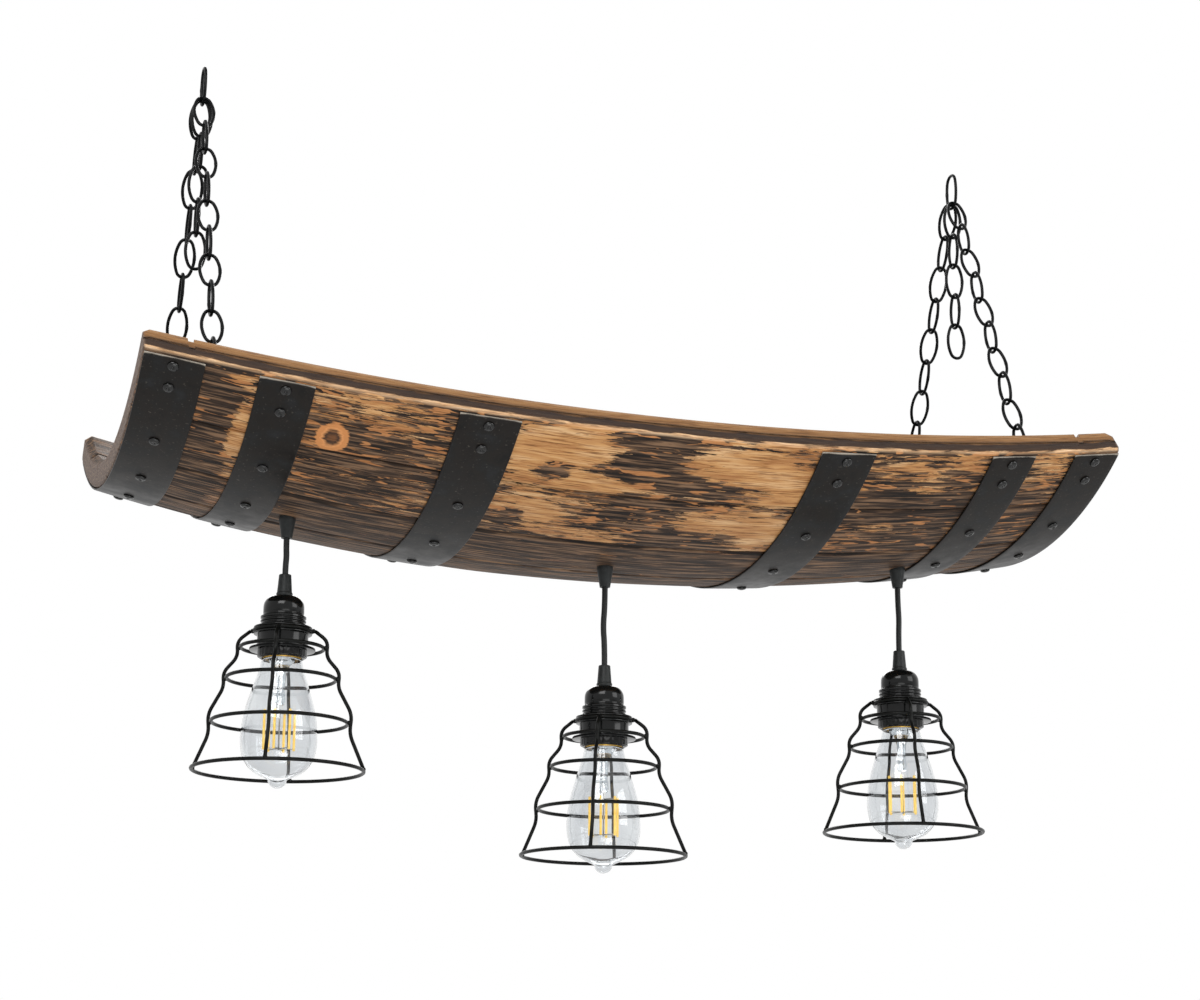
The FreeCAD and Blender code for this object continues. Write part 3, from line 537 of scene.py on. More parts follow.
def clear_glass(name, tint, roughness):
    """Blown soda glass: clear, with faint waves in its wall that bend what shows through."""
    material, tree, shader = blank_material(name)
    place = add(tree, "ShaderNodeTexCoord", out="Object")
    wave = add(tree, "ShaderNodeTexNoise", {"Vector": place, "Scale": per_metre(30.0)[0], "Detail": 1.0})
    tone = add(tree, "ShaderNodeValToRGB", {"Fac": wave}, ((0.35, tint), (0.65, "#EEF0F1")))
    relief = add(tree, "ShaderNodeBump", {"Height": wave, "Strength": 0.15, "Distance": 1.0 * MM})
    feed(tree, shader, {"Base Color": tone, "Normal": relief, "Transmission Weight": 1.0,
                        "Roughness": roughness, "IOR": 1.45})
    return material


def glowing_coating(colours):
    """Phosphor coating of a filament rod: chalky yellow with a slight glow of its own."""
    material = mottled("phosphor_filament_coating", ((0.3, "#F4BE45"), (0.7, colours.filament)), 6.0,
                       (0.5, 0.65))
    tree = material.node_tree
    feed(tree, tree.nodes["Principled BSDF"], {"Emission Color": (*colours.filament, 1.0),
                                               "Emission Strength": 0.6})
    return material


def finishes():
    """Every material of the chandelier, made once and then found by name."""
    colours = bpy.context.scene.chandelier_colours
    if bpy.data.materials.get("brushed_charred_oak"):
        return bpy.data.materials
    charred_oak(colours)
    # Blackened strip steel: dark satin with cloudy grey patches and a rolled surface
    mottled("blackened_strip_steel",
            ((0.3, "#090807"), (0.44, "#15110E"), (0.56, colours.steel), (0.72, "#1D1E20")),
            22.0, (0.32, 0.48), specular=0.15, bump=(0.12, 3.0), worn="#8C8479")
    # Black oxide on steel screws: thin, nearly black, with bright glints on the domes
    mottled("black_oxide_screw_steel", ((0.3, "#060606"), (0.7, "#0E0E0E")), 3.0, (0.08, 0.15), specular=0.4)
    # Enamelled chain: gloss black paint that has run a little
    mottled("black_enamelled_chain", ((0.3, "#070808"), (0.7, colours.black)), 5.0, (0.2, 0.3),
            specular=0.08, bump=(0.03, 8.0))
    # Powder coat on the cage's wire: satin black with a faint orange peel
    mottled("black_powder_coat", ((0.3, "#080908"), (0.7, "#111211")), 8.0, (0.28, 0.4),
            specular=0.1, bump=(0.03, 2.5))
    # Phenolic lampholder: moulded, deep gloss black with slight flow clouds
    mottled("moulded_phenolic", ((0.3, "#050606"), (0.7, "#0D0E0E")), 14.0, (0.1, 0.18), specular=0.24)
    # Nylon strain relief: moulded, dark grey and matt
    mottled("moulded_nylon", ((0.3, "#161818"), (0.7, "#262929")), 6.0, (0.4, 0.52),
            specular=0.22, bump=(0.05, 1.8))
    # Cord jacket: extruded vinyl, dark grey with a dull sheen
    mottled("extruded_vinyl_jacket", ((0.3, "#0F1010"), (0.7, "#1B1D1D")), 5.0, (0.34, 0.46),
            specular=0.22, bump=(0.04, 1.5))
    # Rolled brass of the screw caps: yellow metal dulled by handling
    mottled("rolled_brass", ((0.3, "#A9813C"), (0.7, "#D9B35E")), 7.0, (0.26, 0.4), metallic=1.0)
    # Bulb and stem: clear glass, the pressed stem a little bluer and duller
    clear_glass("blown_soda_glass", "#E3E5E7", 0.02)
    clear_glass("pressed_stem_glass", "#DCE2E6", 0.06)
    glowing_coating(colours)
    # Nickel lead wire: drawn, pale grey metal
    mottled("drawn_nickel_wire", ((0.3, "#8E8C88"), (0.7, "#B9B7B2")), 3.0, (0.28, 0.4), metallic=1.0)
    # Zinc plate on the box and clips: pale grey metal with cloudy spangle
    mottled("zinc_plated_sheet", ((0.3, "#787D7F"), (0.5, "#8D9294"), (0.7, "#A2A7A9")), 12.0, (0.42, 0.56),
            metallic=1.0, bump=(0.05, 5.0))
    # Wire nuts: moulded orange plastic
    mottled("moulded_orange_plastic", ((0.3, "#C4581A"), (0.7, "#DE7A2E")), 5.0, (0.35, 0.48))
    return bpy.data.materials


# Operators

class DressStaves(bpy.types.Operator):
    """Six staves with worn edges, brushed grain, a bevelled chime and a croze groove at each end"""

    bl_idname = "chandelier.staves"
    bl_label = "Staves"

    # Bare places in the char: x, barrel angle, half length, half width in degrees, strength
    bare_places = (
        (-354, 24, 8, 6.0, 0.75), (-362, 36, 14, 1.2, 0.25), (-350, 6, 12, 7.0, 0.35),
        (-268, 35, 46, 2.2, 0.2), (-225, 32, 40, 2.0, 0.16), (-250, 26, 30, 1.6, 0.12),
        (-205, 16, 26, 2.2, 0.18), (-232, 21, 40, 1.4, 0.12), (-92, 32, 52, 6.5, 0.62),
        (-40, 27, 60, 2.0, 0.35), (75, 33, 58, 4.2, 0.6), (118, 28, 26, 3.0, 0.4),
        (-98, 20, 34, 3.2, 0.6), (72, 20.5, 66, 2.6, 0.6), (118, 17, 22, 4.0, 0.45),
        (-30, 15, 50, 2.0, 0.35), (230, 34, 40, 1.6, 0.3), (250, 30, 30, 1.0, 0.3),
        (222, 21, 30, 1.8, 0.3), (300, 35, 40, 1.4, 0.25), (372, 35, 16, 3.0, 0.3),
        (-60, -20, 90, 4.0, 0.45), (150, -30, 110, 4.0, 0.45), (-240, -31, 60, 3.0, 0.4),
    )
    # Places that are burnt deeper than the rest of their stave, given the same way
    burnt_places = (
        (-94, 28.5, 15, 2.4, 0.75), (-14, 33, 34, 6.0, 0.45), (-112, 18.5, 10, 2.2, 0.7),
        (40, 15.5, 36, 2.6, 0.4), (-250, 29.5, 40, 2.0, 0.2), (230, 26, 60, 3.4, 0.3),
        (-375, 24, 16, 16.0, 0.5), (30, 28.5, 75, 1.8, 0.3), (-40, 30.5, 30, 1.4, 0.3),
        (10, 20.5, 60, 2.6, 0.25), (-235, 24, 50, 7.0, 0.12), (245, 24, 60, 9.0, 0.14),
        (350, 24, 34, 9.0, 0.16),
    )
    # Knot in the front stave: x, barrel angle, half length, half width in degrees
    knot_place = (-280.0, 28.4, 15.0, 3.2)
    # How far each stave is burnt, and how far its bare wood is toasted, from the front stave to the back one
    char = (0.08, 0.12, 0.24, 0.24, 0.22, 0.16)
    stain = (0.0, 0.12, 0.75, 0.7, 0.6, 0.3)
    # The inside was toasted and then soaked for years
    inner_char = 0.32
    inner_stain = 0.9
    chime_flat = 21.0
    chime_cut = 6.0
    croze_inset = 36.0
    croze_width = 5.0
    croze_depth = 4.5
    # Grid: rows close to the tips, the gap of two rows at a sharp step, and where the even rows begin
    tip_rows = (0.0, 0.8, 2.0)
    step_gap = 0.1
    run_inset = 60.0
    run_points = 150
    outer_points = 30
    side_points = 8
    inner_points = 14
    # Wear: length of the bites along an arris, rounding of the tips, most that the inner face loses
    bite_run = 24.0
    tip_wear = 1.2
    inner_wear = 1.5
    # Length and width of the fine and the broad waves of the brushed grain
    fine_grain = (28.0, 2.4)
    broad_grain = (90.0, 14.0)
    # Joints: how far the sides stand back, how much more at the arrises, how deep that goes and how sharply
    joint_gap = 0.12
    joint_round = 0.9
    joint_reach = 1.4
    joint_power = 12
    # Fields: step in the pattern from stave to stave, limits of the sawn sides, depth of the end grain, and
    # how many of its own radii the knot is felt
    grain_step = 300.0
    side_share = 0.999
    sawn_degrees = 1.0
    tip_reach = 1.5
    knot_limit = 2.0

    def blot(self, places, x, angle):
        """Sum of soft spots: each falls off as a bell curve of the scaled distance from its middle."""
        return sum(strength * np.exp(-((x - px) / half_x) ** 2 - ((angle - pa) / half_a) ** 2)
                   for px, pa, half_x, half_a, strength in places)

    def section(self):
        """Outline of a stave as shares: across from -1 to 1 and depth from 0 to 1, outer face first."""
        face = np.linspace(-1, 1, self.outer_points)
        side = np.linspace(0, 1, self.side_points)[1:-1]
        back = np.linspace(1, -1, self.inner_points)
        across = np.concatenate([face, np.ones_like(side), back, -np.ones_like(side)])
        depth = np.concatenate([np.zeros_like(face), side, np.ones_like(back), side[::-1]])
        return across, depth

    def stations(self, half):
        """Places along the panel: close together at the tips, the bevels and the croze grooves."""
        steps = (self.chime_cut, self.croze_inset, self.croze_inset + self.croze_width)
        sharp = [step + gap for step in steps for gap in (-self.step_gap, self.step_gap)]
        close = np.sort([*self.tip_rows, self.chime_cut / 2, 2 * self.chime_cut, *sharp])
        between = np.linspace(-1, 1, self.run_points) * (half - self.run_inset)
        return np.concatenate([close - half, between, half - close[::-1]])[:, None]

    def inner_depth(self, inset, thickness):
        """Depth of the inner face: full, less in the croze groove, and falling to the chime at the tips."""
        groove = (inset > self.croze_inset) & (inset < self.croze_inset + self.croze_width)
        bevel = self.chime_flat + (thickness - self.chime_flat) * np.clip(inset / self.chime_cut, 0, 1)
        return np.where(groove, thickness - self.croze_depth, bevel)

    def worn_depth(self, sizes, inset, x, across, share, half_width, number):
        """Depth of each point: the plain section, less the worn arrises and the brushed-out grain.

        An arris falls off as an exponential of the distance from it. Noise, seeded by the stave's number,
        makes its bites and the grain.
        """
        wear = sizes.arris_wear / MM
        relief = sizes.grain_relief / MM
        depth = share * self.inner_depth(inset, sizes.stave_thickness / MM)
        near_edge = half_width * (1 - np.abs(across))
        bite = wear * (1 + 0.5 * even_noise(x / self.bite_run, across + 0 * x, 7 * number))
        drop = bite * np.exp(-2 * near_edge / wear) + self.tip_wear * np.exp(-inset / self.tip_wear)
        grains = ((relief, self.fine_grain, 31 * number), (0.5 * relief, self.broad_grain, number))
        for height, (run, width), seed in grains:
            drop = drop + height * (0.5 + 0.5 * even_noise(x / run, across * half_width / width, seed))
        return np.where(share < 0.5, depth + drop, depth - np.minimum(drop, self.inner_wear))

    def fields(self, barrel, number, xs, angles, depths, inside, across):
        """Values for the oak at each point: place in the grain, burn, stain, sawn sides, tips and the knot.

        The grain runs along the panel, and each stave starts at another place in the pattern.
        """
        around = np.radians(angles) * barrel.bilge + self.grain_step * number
        burn = self.char[number - 1] - self.blot(self.bare_places, xs, angles)
        burn = np.where(inside, self.inner_char, burn + self.blot(self.burnt_places, xs, angles))
        sawn = (np.abs(across) > self.side_share) & (np.abs(angles) > barrel.half_angle - self.sawn_degrees)
        kx, ka, rx, ra = self.knot_place
        knot = np.where(inside, self.knot_limit, np.hypot((xs - kx) / rx, (angles - ka) / ra))
        return {"grain": np.stack([xs, around, depths], -1).reshape(-1, 3) * MM,
                "burn": burn.ravel(),
                "stain": np.where(inside, self.inner_stain, self.stain[number - 1]).ravel(),
                "sawn": sawn.ravel() * 1.0,
                "tip": np.clip(1 - (barrel.half_length - np.abs(xs)) / self.tip_reach, 0, 1).ravel(),
                "knot": np.minimum(knot, self.knot_limit).ravel()}

    def execute(self, context):
        sizes = context.scene.chandelier_panel
        barrel = Barrel(sizes)
        x = self.stations(barrel.half_length)
        across, share = self.section()
        half_width = np.radians(barrel.stave_angle / 2) * barrel.bilge
        thickness = sizes.stave_thickness / MM
        core = self.chime_flat / 2
        for number in range(1, sizes.stave_count + 1):
            middle = barrel.half_angle - (number - 0.5) * barrel.stave_angle
            inset = barrel.half_length - np.abs(x)
            depth = self.worn_depth(sizes, inset, x, across, share, half_width, number)
            near_face = np.minimum(depth, thickness - depth)
            pull = self.joint_gap + self.joint_round * np.exp(-near_face / self.joint_reach)
            squeeze = 1 - np.abs(across) ** self.joint_power * pull / half_width
            angle = middle + across * squeeze * barrel.stave_angle / 2
            # Two more rows close each end: they run in to the middle of the stave's thickness
            xs, angles, depths = (np.pad(values, ((2, 2), (0, 0)), mode="edge")
                                  for values in (x + 0 * depth, angle, depth))
            depths[[0, -1]] = core
            depths[[1, -2]] = (depths[[1, -2]] + core) / 2
            surface = skin(barrel.place(xs, depths, angles), wrap_columns=True)
            fields = self.fields(barrel, number, xs, angles, depths, depths > thickness / 2, across)
            piece("charred_stave_%d" % number, [(surface, 0)], "panel", "stave_%d" % number,
                  [finishes()["brushed_charred_oak"]], fields)
        return {"FINISHED"}


class DressHoops(bpy.types.Operator):
    """Six strip-steel hoops with rounded edges and a slight wave, and their domed screws"""

    bl_idname = "chandelier.hoops"
    bl_label = "Hoops"

    end_inset = 4.0
    seat = 0.1
    edge_round = 0.7
    corner_points = 4
    face_points = 9
    # Rows close to the sheared ends in millimetres, then even ones from this many degrees in
    end_rows = (0.0, 0.3, 0.8, 1.6)
    run_inset = 0.4
    run_points = 110
    # Wave of the long edges: its height, and its length in degrees
    wave = 0.35
    wave_run = 9.0
    end_round = 0.4
    # Bright wear: how far it reaches from the ends and from the long edges, and its share on those
    end_wear = 1.6
    side_wear = 0.8
    side_share = 0.45
    screw_radius = 4.6
    screw_height = 2.6
    screw_rim = 0.7
    socket_radius = 1.5
    socket_taper = 0.92
    socket_depth = 1.3
    edge_screw_inset = 13.0

    def outline(self, half, thick):
        """Round-cornered strip section with extra points along its two faces."""
        corners = rounded([(-half, 0), (half, 0), (half, thick), (-half, thick)], self.edge_round,
                          self.corner_points, closed=True)
        first, second, third, fourth = np.split(corners, 4)
        along = np.linspace(-half, half, self.face_points)[1:-1]
        under = np.stack([along, 0 * along], -1)
        return np.concatenate([first, under, second, third, under[::-1] + (0, thick), fourth])

    def execute(self, context):
        sizes = context.scene.chandelier_panel
        barrel = Barrel(sizes)
        thick = sizes.hoop_thickness / MM
        span = barrel.half_angle - math.degrees(self.end_inset / barrel.bilge)
        close = np.degrees(np.array(self.end_rows) / barrel.bilge)
        run = np.linspace(self.run_inset - span, span - self.run_inset, self.run_points)
        angles = np.concatenate([close - span, run, span - close[::-1]])[:, None]
        from_end = np.radians(span - np.abs(angles)) * barrel.bilge
        for node in HOOPS:
            middle = node_middle(node)[0]
            half = node_size(node)[0] / 2
            across, rise = self.outline(half, thick).T[:, None]
            sway = self.wave * even_noise(angles / self.wave_run, 0 * angles, 3 + abs(int(middle)))
            x = middle + across * (1 - np.abs(sway) / half)
            # The sheared ends are a little rounded over, and worn bright like the long edges
            over = 0.5 * thick * np.exp(-from_end / self.end_round) * (rise > thick / 2)
            height = self.seat + rise - over
            from_side = half - np.abs(across)
            wear = np.exp(-from_end / self.end_wear) + self.side_share * np.exp(-from_side / self.side_wear)
            rows = barrel.place(x, -height, angles + 0 * x)
            ends = [np.broadcast_to(row.mean(0), (1, *row.shape)) for row in (rows[0], rows[-1])]
            points = np.concatenate([ends[0], rows, ends[1]])
            wear = np.concatenate([wear[:1], wear, wear[-1:]])
            piece("strip_" + node, [(skin(points, wrap_columns=True), 0)], "panel", node,
                  [finishes()["blackened_strip_steel"]], {"wear": wear.ravel()})
        self.screws(barrel, thick, sizes.stave_count)
        return {"FINISHED"}

    def screws(self, barrel, thick, staves):
        """Domed heads in each stave and at each end: a flattened half ball on a rim, with a round socket."""
        dome_start = math.acos(self.socket_radius / self.screw_radius)
        swing = np.linspace(0, dome_start, 7)
        rise = self.screw_height - self.screw_rim
        dome = np.stack([self.screw_radius * np.cos(swing), self.screw_rim + rise * np.sin(swing)], -1)
        floor = dome[-1, 1] - self.socket_depth
        socket = [(self.socket_radius * self.socket_taper, floor), (0, floor)]
        head = turned(np.concatenate([[(0, 0), (self.screw_radius, 0)], dome, socket]), 20)
        edge = barrel.half_angle - math.degrees(self.edge_screw_inset / barrel.bilge)
        angles = [edge, *(barrel.half_angle - (np.arange(staves) + 0.5) * barrel.stave_angle), -edge]
        heads = []
        for node in HOOPS:
            x = node_middle(node)[0]
            for angle in angles:
                out = barrel.outward(x, angle)
                foot = barrel.place(x, 0.0, angle) + out * (2 * self.seat + thick)
                heads.append((moved(head, foot, upright_to(out)), 0))
        piece("domed_hoop_screws", heads, "panel", "hoop_screws",
              [finishes()["black_oxide_screw_steel"]])


class DressChains(bpy.types.Operator):
    """Hanger links, forked strands and surplus links of welded oval chain"""

    bl_idname = "chandelier.chains"
    bl_label = "Chains"

    strand_sides = (-1, 1)
    strand_links = 10
    spare_links = 5
    twist = 90.0
    # How far round the hanger link's bend the surplus link pushes the strands' first links
    crowd_angle = 42.0
    bend_points = 12
    side_points = 14
    weld_length = 1.6

    def link(self, sizes, inner_width, end_radius):
        """Oval link in the plane of X and Z, from its upper bend down, with a slight swell at its weld.

        Two small arcs make its ends, and two large arcs that meet them without a kink make its sides.
        """
        wire_r = sizes.wire / MM / 2
        half = sizes.inner_length / MM / 2 + wire_r
        wide = inner_width / MM / 2 + wire_r
        bend = end_radius / MM + wire_r
        rise = half - bend
        shift = (rise ** 2 - (wide - bend) ** 2) / (2 * (wide - bend))
        meet = math.atan2(rise, shift)
        top = np.linspace(meet, np.pi - meet, self.bend_points)
        side = np.linspace(meet, -meet, self.side_points)[1:-1]
        upper = np.stack([bend * np.cos(top), rise + bend * np.sin(top)], -1)
        flank = np.stack([shift - (shift + wide) * np.cos(side), (shift + wide) * np.sin(side)], -1)
        flat = np.concatenate([upper, flank, -upper, -flank])
        path = np.stack([flat[:, 0], 0 * flat[:, 0], flat[:, 1] - half], -1)
        weld = np.exp(-(flat[:, 1] / self.weld_length) ** 2) * (flat[:, 0] > 0)
        return wire(path, (0, 1, 0), wire_r + sizes.weld_swell / MM * weld, 10, closed=True)

    def execute(self, context):
        sizes = context.scene.chandelier_chain
        link = self.link(sizes, sizes.inner_width, sizes.end_radius)
        hanger = self.link(sizes, sizes.hanger_width, sizes.hanger_radius)
        wire_r = sizes.wire / MM / 2
        pitch = (sizes.inner_length - sizes.play) / MM
        crossing = (sizes.hanger_radius - sizes.play) / MM - wire_r
        turn_z = (sizes.hanger_radius - sizes.inner_length) / MM
        crowd = math.radians(self.crowd_angle)
        lean = sizes.strand_lean
        paint = [finishes()["black_enamelled_chain"]]
        hangers = []
        for side in SIDES:
            x = node_middle("chain_" + side)[0]
            hangers.append((moved(hanger, (x, 0, wire_r), about("Z", 90)), 0))
            swivel, strands = [], []
            for across in self.strand_sides:
                start = np.array((x, across * crossing * math.sin(crowd),
                                  turn_z - crossing * math.cos(crowd)))
                down = np.array((0, across * math.sin(lean), -math.cos(lean)))
                leaned = about("X", across * math.degrees(lean))
                for i in range(self.strand_links):
                    turn = leaned @ about("Z", -across * self.twist * (i % 2))
                    (strands if i else swivel).append((moved(link, start + down * (i * pitch), turn), 0))
            surplus = []
            for i in range(self.spare_links):
                place = (x, 0, turn_z - crossing - i * pitch)
                surplus.append((moved(link, place, about("Z", -self.twist * (i % 2))), 0))
            for made, links, body, node in (
                    ("welded_swivel_links_", swivel + surplus[:1], "swivel_", "swivel_links_"),
                    ("welded_chain_", strands, "strands_", "chain_"),
                    ("welded_spare_chain_", surplus[1:], "spare_", "spare_chain_")):
                piece(made + side, links, body + side, node + side, paint)
        piece("welded_hanger_links", hangers, "hangers", "hanger_links", paint)
        dress(["screw_eyes"], paint[0])
        return {"FINISHED"}


class DressPendants(bpy.types.Operator):
    """Three pendants: gland, cord, grip, lampholder, cage and filament bulb"""

    bl_idname = "chandelier.pendants"
    bl_label = "Pendants"

    # Turn of each cage in degrees, and bow of each cord in millimetres
    cage_turns = {"left": 20.0, "middle": 28.0, "right": 12.0}
    cord_bows = {"left": 0.5, "middle": -1.5, "right": 0.8}
    grip_length = 19.3
    cap_height = 17.4
    # Cage stations as (depth below the grip mouth, radius): crests and troughs of the uprights in turn
    collar = (49.2, 27.5)
    waves = ((58.0, 38.8), (71.4, 37.6), (85.0, 49.6), (97.5, 48.4), (120.6, 61.0), (137.0, 59.4))
    rim = (168.0, 72.0)
    ring_share = 0.43
    uprights = 4
    upright_bend = 6.5
    weld_bite = 0.1
    holder_foot = 73.0
    # Bulb stations as (depth below the grip mouth, radius)
    glass = ((73.8, 17.0), (85.0, 19.6), (100.4, 24.6), (121.6, 30.4), (140.9, 32.4), (152.5, 31.4),
             (161.2, 28.6), (169.8, 20.5), (176.1, 8.0))
    tip = 183.4
    cap_top = 45.4
    skirt_top = 69.5
    stem_foot = 112.9
    filament = (118.7, 149.6)
    rods = 6

    def execute(self, context):
        sizes = context.scene.chandelier_lamp
        found = finishes()
        for name in PENDANTS:
            grip = node_middle("cord_grip_" + name)
            mouth = np.array((grip[0], grip[1], node_top("cord_grip_" + name)))
            self.cord(sizes, name, mouth)
            cage = self.cage(sizes, self.cage_turns[name])
            # Piece, its surfaces, body, CAD node, slot and finish
            for made, surfaces, body, node, slot, finish in (
                    ("tapered_cord_grip_", [self.grip(sizes)], "lamp_", "cord_grip_", "strain_relief",
                     "moulded_nylon"),
                    ("bell_cap_", [self.cap()], "lamp_", "holder_cap_", "bakelite", "moulded_phenolic"),
                    ("threaded_lampholder_", [self.holder()], "lamp_", "lampholder_", "bakelite",
                     "moulded_phenolic"),
                    ("ribbed_shade_rings_", self.shade_rings(sizes), "lamp_", "shade_rings_", "bakelite",
                     "moulded_phenolic"),
                    ("welded_wire_cage_", cage, "lamp_", "wire_cage_", "cage_wire", "black_powder_coat"),
                    ("blown_bulb_", [self.bulb_glass()], "bulb_", "bulb_glass_", "bulb_glass",
                     "blown_soda_glass"),
                    ("threaded_bulb_cap_", [self.bulb_cap()], "bulb_", "bulb_cap_", "brass", "rolled_brass")):
                parts = [(moved(surface, mouth), 0) for surface in surfaces]
                piece(made + name, parts, body + name, node + name, [found[finish]])
            mount = [(moved(surface, mouth), index) for surface, index in self.mount()]
            glass_wire_coating = [found["pressed_stem_glass"], found["drawn_nickel_wire"],
                                  found["phosphor_filament_coating"]]
            piece("filament_mount_" + name, mount, "bulb_" + name, "bulb_filaments_" + name,
                  glass_wire_coating)
        dress(["cord_glands"], found["moulded_nylon"])
        return {"FINISHED"}

    def cord(self, sizes, name, mouth):
        """Pendant cord from its gland to its grip, with the slight bow that a stiff flex keeps."""
        low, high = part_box("pendant_cord_" + name)
        round_end = (high.x - low.x) / 2
        exit_z = high.z - round_end
        foot_z = low.z + round_end
        x, y = mouth[:2] * MM
        bow = self.cord_bows[name] * MM
        drop = exit_z - foot_z
        route = ((x, y, exit_z), (x, y, exit_z - 0.25 * drop), (x + bow, y, exit_z - 0.5 * drop),
                 (x, y, exit_z - 0.75 * drop), (x, y, foot_z))
        curve = bpy.data.curves.new("vinyl_cord_" + name, "CURVE")
        curve.dimensions = "3D"
        spline = curve.splines.new("NURBS")
        spline.points.add(len(route) - 1)
        for point, place in zip(spline.points, route):
            point.co = (*place, 1.0)
        spline.order_u = 3
        spline.use_endpoint_u = True
        curve.bevel_depth = sizes.cord / 2
        curve.bevel_resolution = 6
        curve.use_fill_caps = True
        curve.materials.append(finishes()["extruded_vinyl_jacket"])
        made = bpy.data.objects.new("vinyl_cord_" + name, curve)
        bpy.context.scene.collection.objects.link(made)
        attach(made, "cord_" + name)
        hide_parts("pendant_cord_" + name)

    def grip(self, sizes):
        """Tapered strain relief with a small foot collar, a stem for the cap and a bore for the cord."""
        play, edge = 0.3, 0.8
        bore = sizes.cord / MM / 2 + play
        top, waist, collar, stem = 5.2, 6.4, 7.0, 4.8
        taper_end, collar_height, stem_length = 3.6, 2.9, 5.0
        foot = -self.grip_length
        end = foot - stem_length
        outline = rounded([(bore, 0), (top, 0), (waist, foot + taper_end), (collar, foot + collar_height),
                           (collar, foot), (stem, foot), (stem, end), (bore, end)], edge, closed=True)
        return turned(np.concatenate([outline, outline[:1]]), 32)

    def cap(self):
        """Bell-shaped cap: a quarter ellipse over a short straight skirt, with a groove near its foot."""
        top = -self.grip_length
        foot = top - self.cap_height
        hole, crown, skirt, wall, drop = 4.9, 8.6, 17.4, 2.0, 9.6
        groove_middle, groove_half, groove_depth = 1.9, 0.5, 0.45
        swing = np.linspace(0.0, np.pi / 2, 9)
        bell = np.stack([crown + (skirt - crown) * np.sin(swing), top - drop * (1 - np.cos(swing))], -1)
        hem = [(skirt, foot + groove_middle + groove_half), (skirt - groove_depth, foot + groove_middle),
               (skirt, foot + groove_middle - groove_half), (skirt, foot), (skirt - wall, foot)]
        inside = bell[::-1] - wall
        outline = np.concatenate([[(hole, top)], bell, hem, inside, [(hole, top - wall), (hole, top)]])
        return turned(outline, 48)

    def holder(self):
        """Lampholder: a smooth barrel with a wide mouth, and grooves below its roof as a clipped cosine."""
        top = -self.grip_length - self.cap_height
        foot = -self.holder_foot
        radius, groove, pitch, count = 19.4, 0.8, 3.0, 5
        mouth, mouth_depth, bore, roof = 17.6, 5.0, 14.45, 4.0
        # Width and height of the bevels at the two ends
        top_bevel, foot_bevel = (0.6, 0.4), (0.5, 0.6)
        down = np.linspace(top_bevel[1], (count + 1) * pitch, 81)
        cut = groove * np.clip(0.5 + 0.9 * np.cos(2 * np.pi * down / pitch), 0, 1)
        cut = np.where((down < pitch / 2) | (down > (count + 0.5) * pitch), 0.0, cut)
        outer = np.stack([radius - cut, top - down], -1)
        high = [(0.0, top), (radius - top_bevel[0], top)]
        low = [(radius, foot + foot_bevel[1]), (radius - foot_bevel[0], foot), (mouth, foot),
               (mouth, foot + mouth_depth), (bore, foot + mouth_depth), (bore, top - roof), (0.0, top - roof)]
        return turned(np.concatenate([high, outer, low]), 56)

    def shade_rings(self, sizes):
        """Thin ring over the cage's collar, and under it a sleeve with a seat, a flange and a ribbed nut."""
        bore, seat, sleeve, flange, nut = 19.55, 24.8, 21.7, 28.0, 21.0
        seat_height, sleeve_height, flange_height, nut_height, clear = 1.4, 11.8, 2.2, 5.6, 0.15
        edge, plain_bore, plain_top = 0.5, 0.7, 0.4
        ribs, rib_sides = 30, 120
        gap = sizes.cage_wire / MM / 2 + clear
        over = -self.collar[0] + gap
        under = -self.collar[0] - gap
        ledge = under - seat_height
        top = ledge - sleeve_height
        foot = top - flange_height
        low = foot - nut_height
        upper = rounded([(bore, over), (seat, over), (seat, over + seat_height), (bore, over + seat_height)],
                        edge, closed=True)
        lower = rounded([(bore, under), (seat, under), (seat, ledge), (sleeve, ledge), (sleeve, top),
                         (flange, top), (flange, foot), (nut, foot), (nut, low), (bore, low)],
                        edge, closed=True)
        ribbed = (lower[:, 0] > bore + plain_bore) & (lower[:, 1] < foot - plain_top)
        depth = np.where(ribbed, sizes.knurl / MM, 0.0)
        return [turned(np.concatenate([upper, upper[:1]]), 56),
                turned(np.concatenate([lower, lower[:1]]), rib_sides, ribs, np.append(depth, depth[0]))]

    def cage(self, sizes, turn):
        """Wire cage: round rings, four wavy uprights with rounded bends, and a weld bead at each crossing."""
        thick = sizes.cage_wire / MM
        blob = bead(sizes.weld_bead / MM)
        inset = thick - self.weld_bite
        depth, radius = self.collar
        rim_depth, rim_radius = self.rim
        rings = [(depth, radius - inset)]
        for (high, wide), (low, narrow) in zip(self.waves[::2], self.waves[1::2]):
            level = high + self.ring_share * (low - high)
            rings.append((level, wide + self.ring_share * (narrow - wide) - inset))
        foot = thick / 2 - self.weld_bite - rim_depth
        bent = rounded([(radius, -depth)] + [(r, -d) for d, r in self.waves] + [(rim_radius, foot)],
                       self.upright_bend, steps=7)
        upright = wire(np.stack([bent[:, 0], 0 * bent[:, 0], bent[:, 1]], -1), (0, 1, 0), thick / 2)
        parts = [ring(r, -d, thick) for d, r in rings + [self.rim]]
        welds = [(r + inset / 2, 0, -d) for d, r in rings] + [(rim_radius, 0, foot - thick / 8)]
        for i in range(self.uprights):
            spin = about("Z", -90 - turn + i * 360.0 / self.uprights)
            parts.append(moved(upright, turn=spin))
            parts += [moved(moved(blob, place), turn=spin) for place in welds]
        return parts

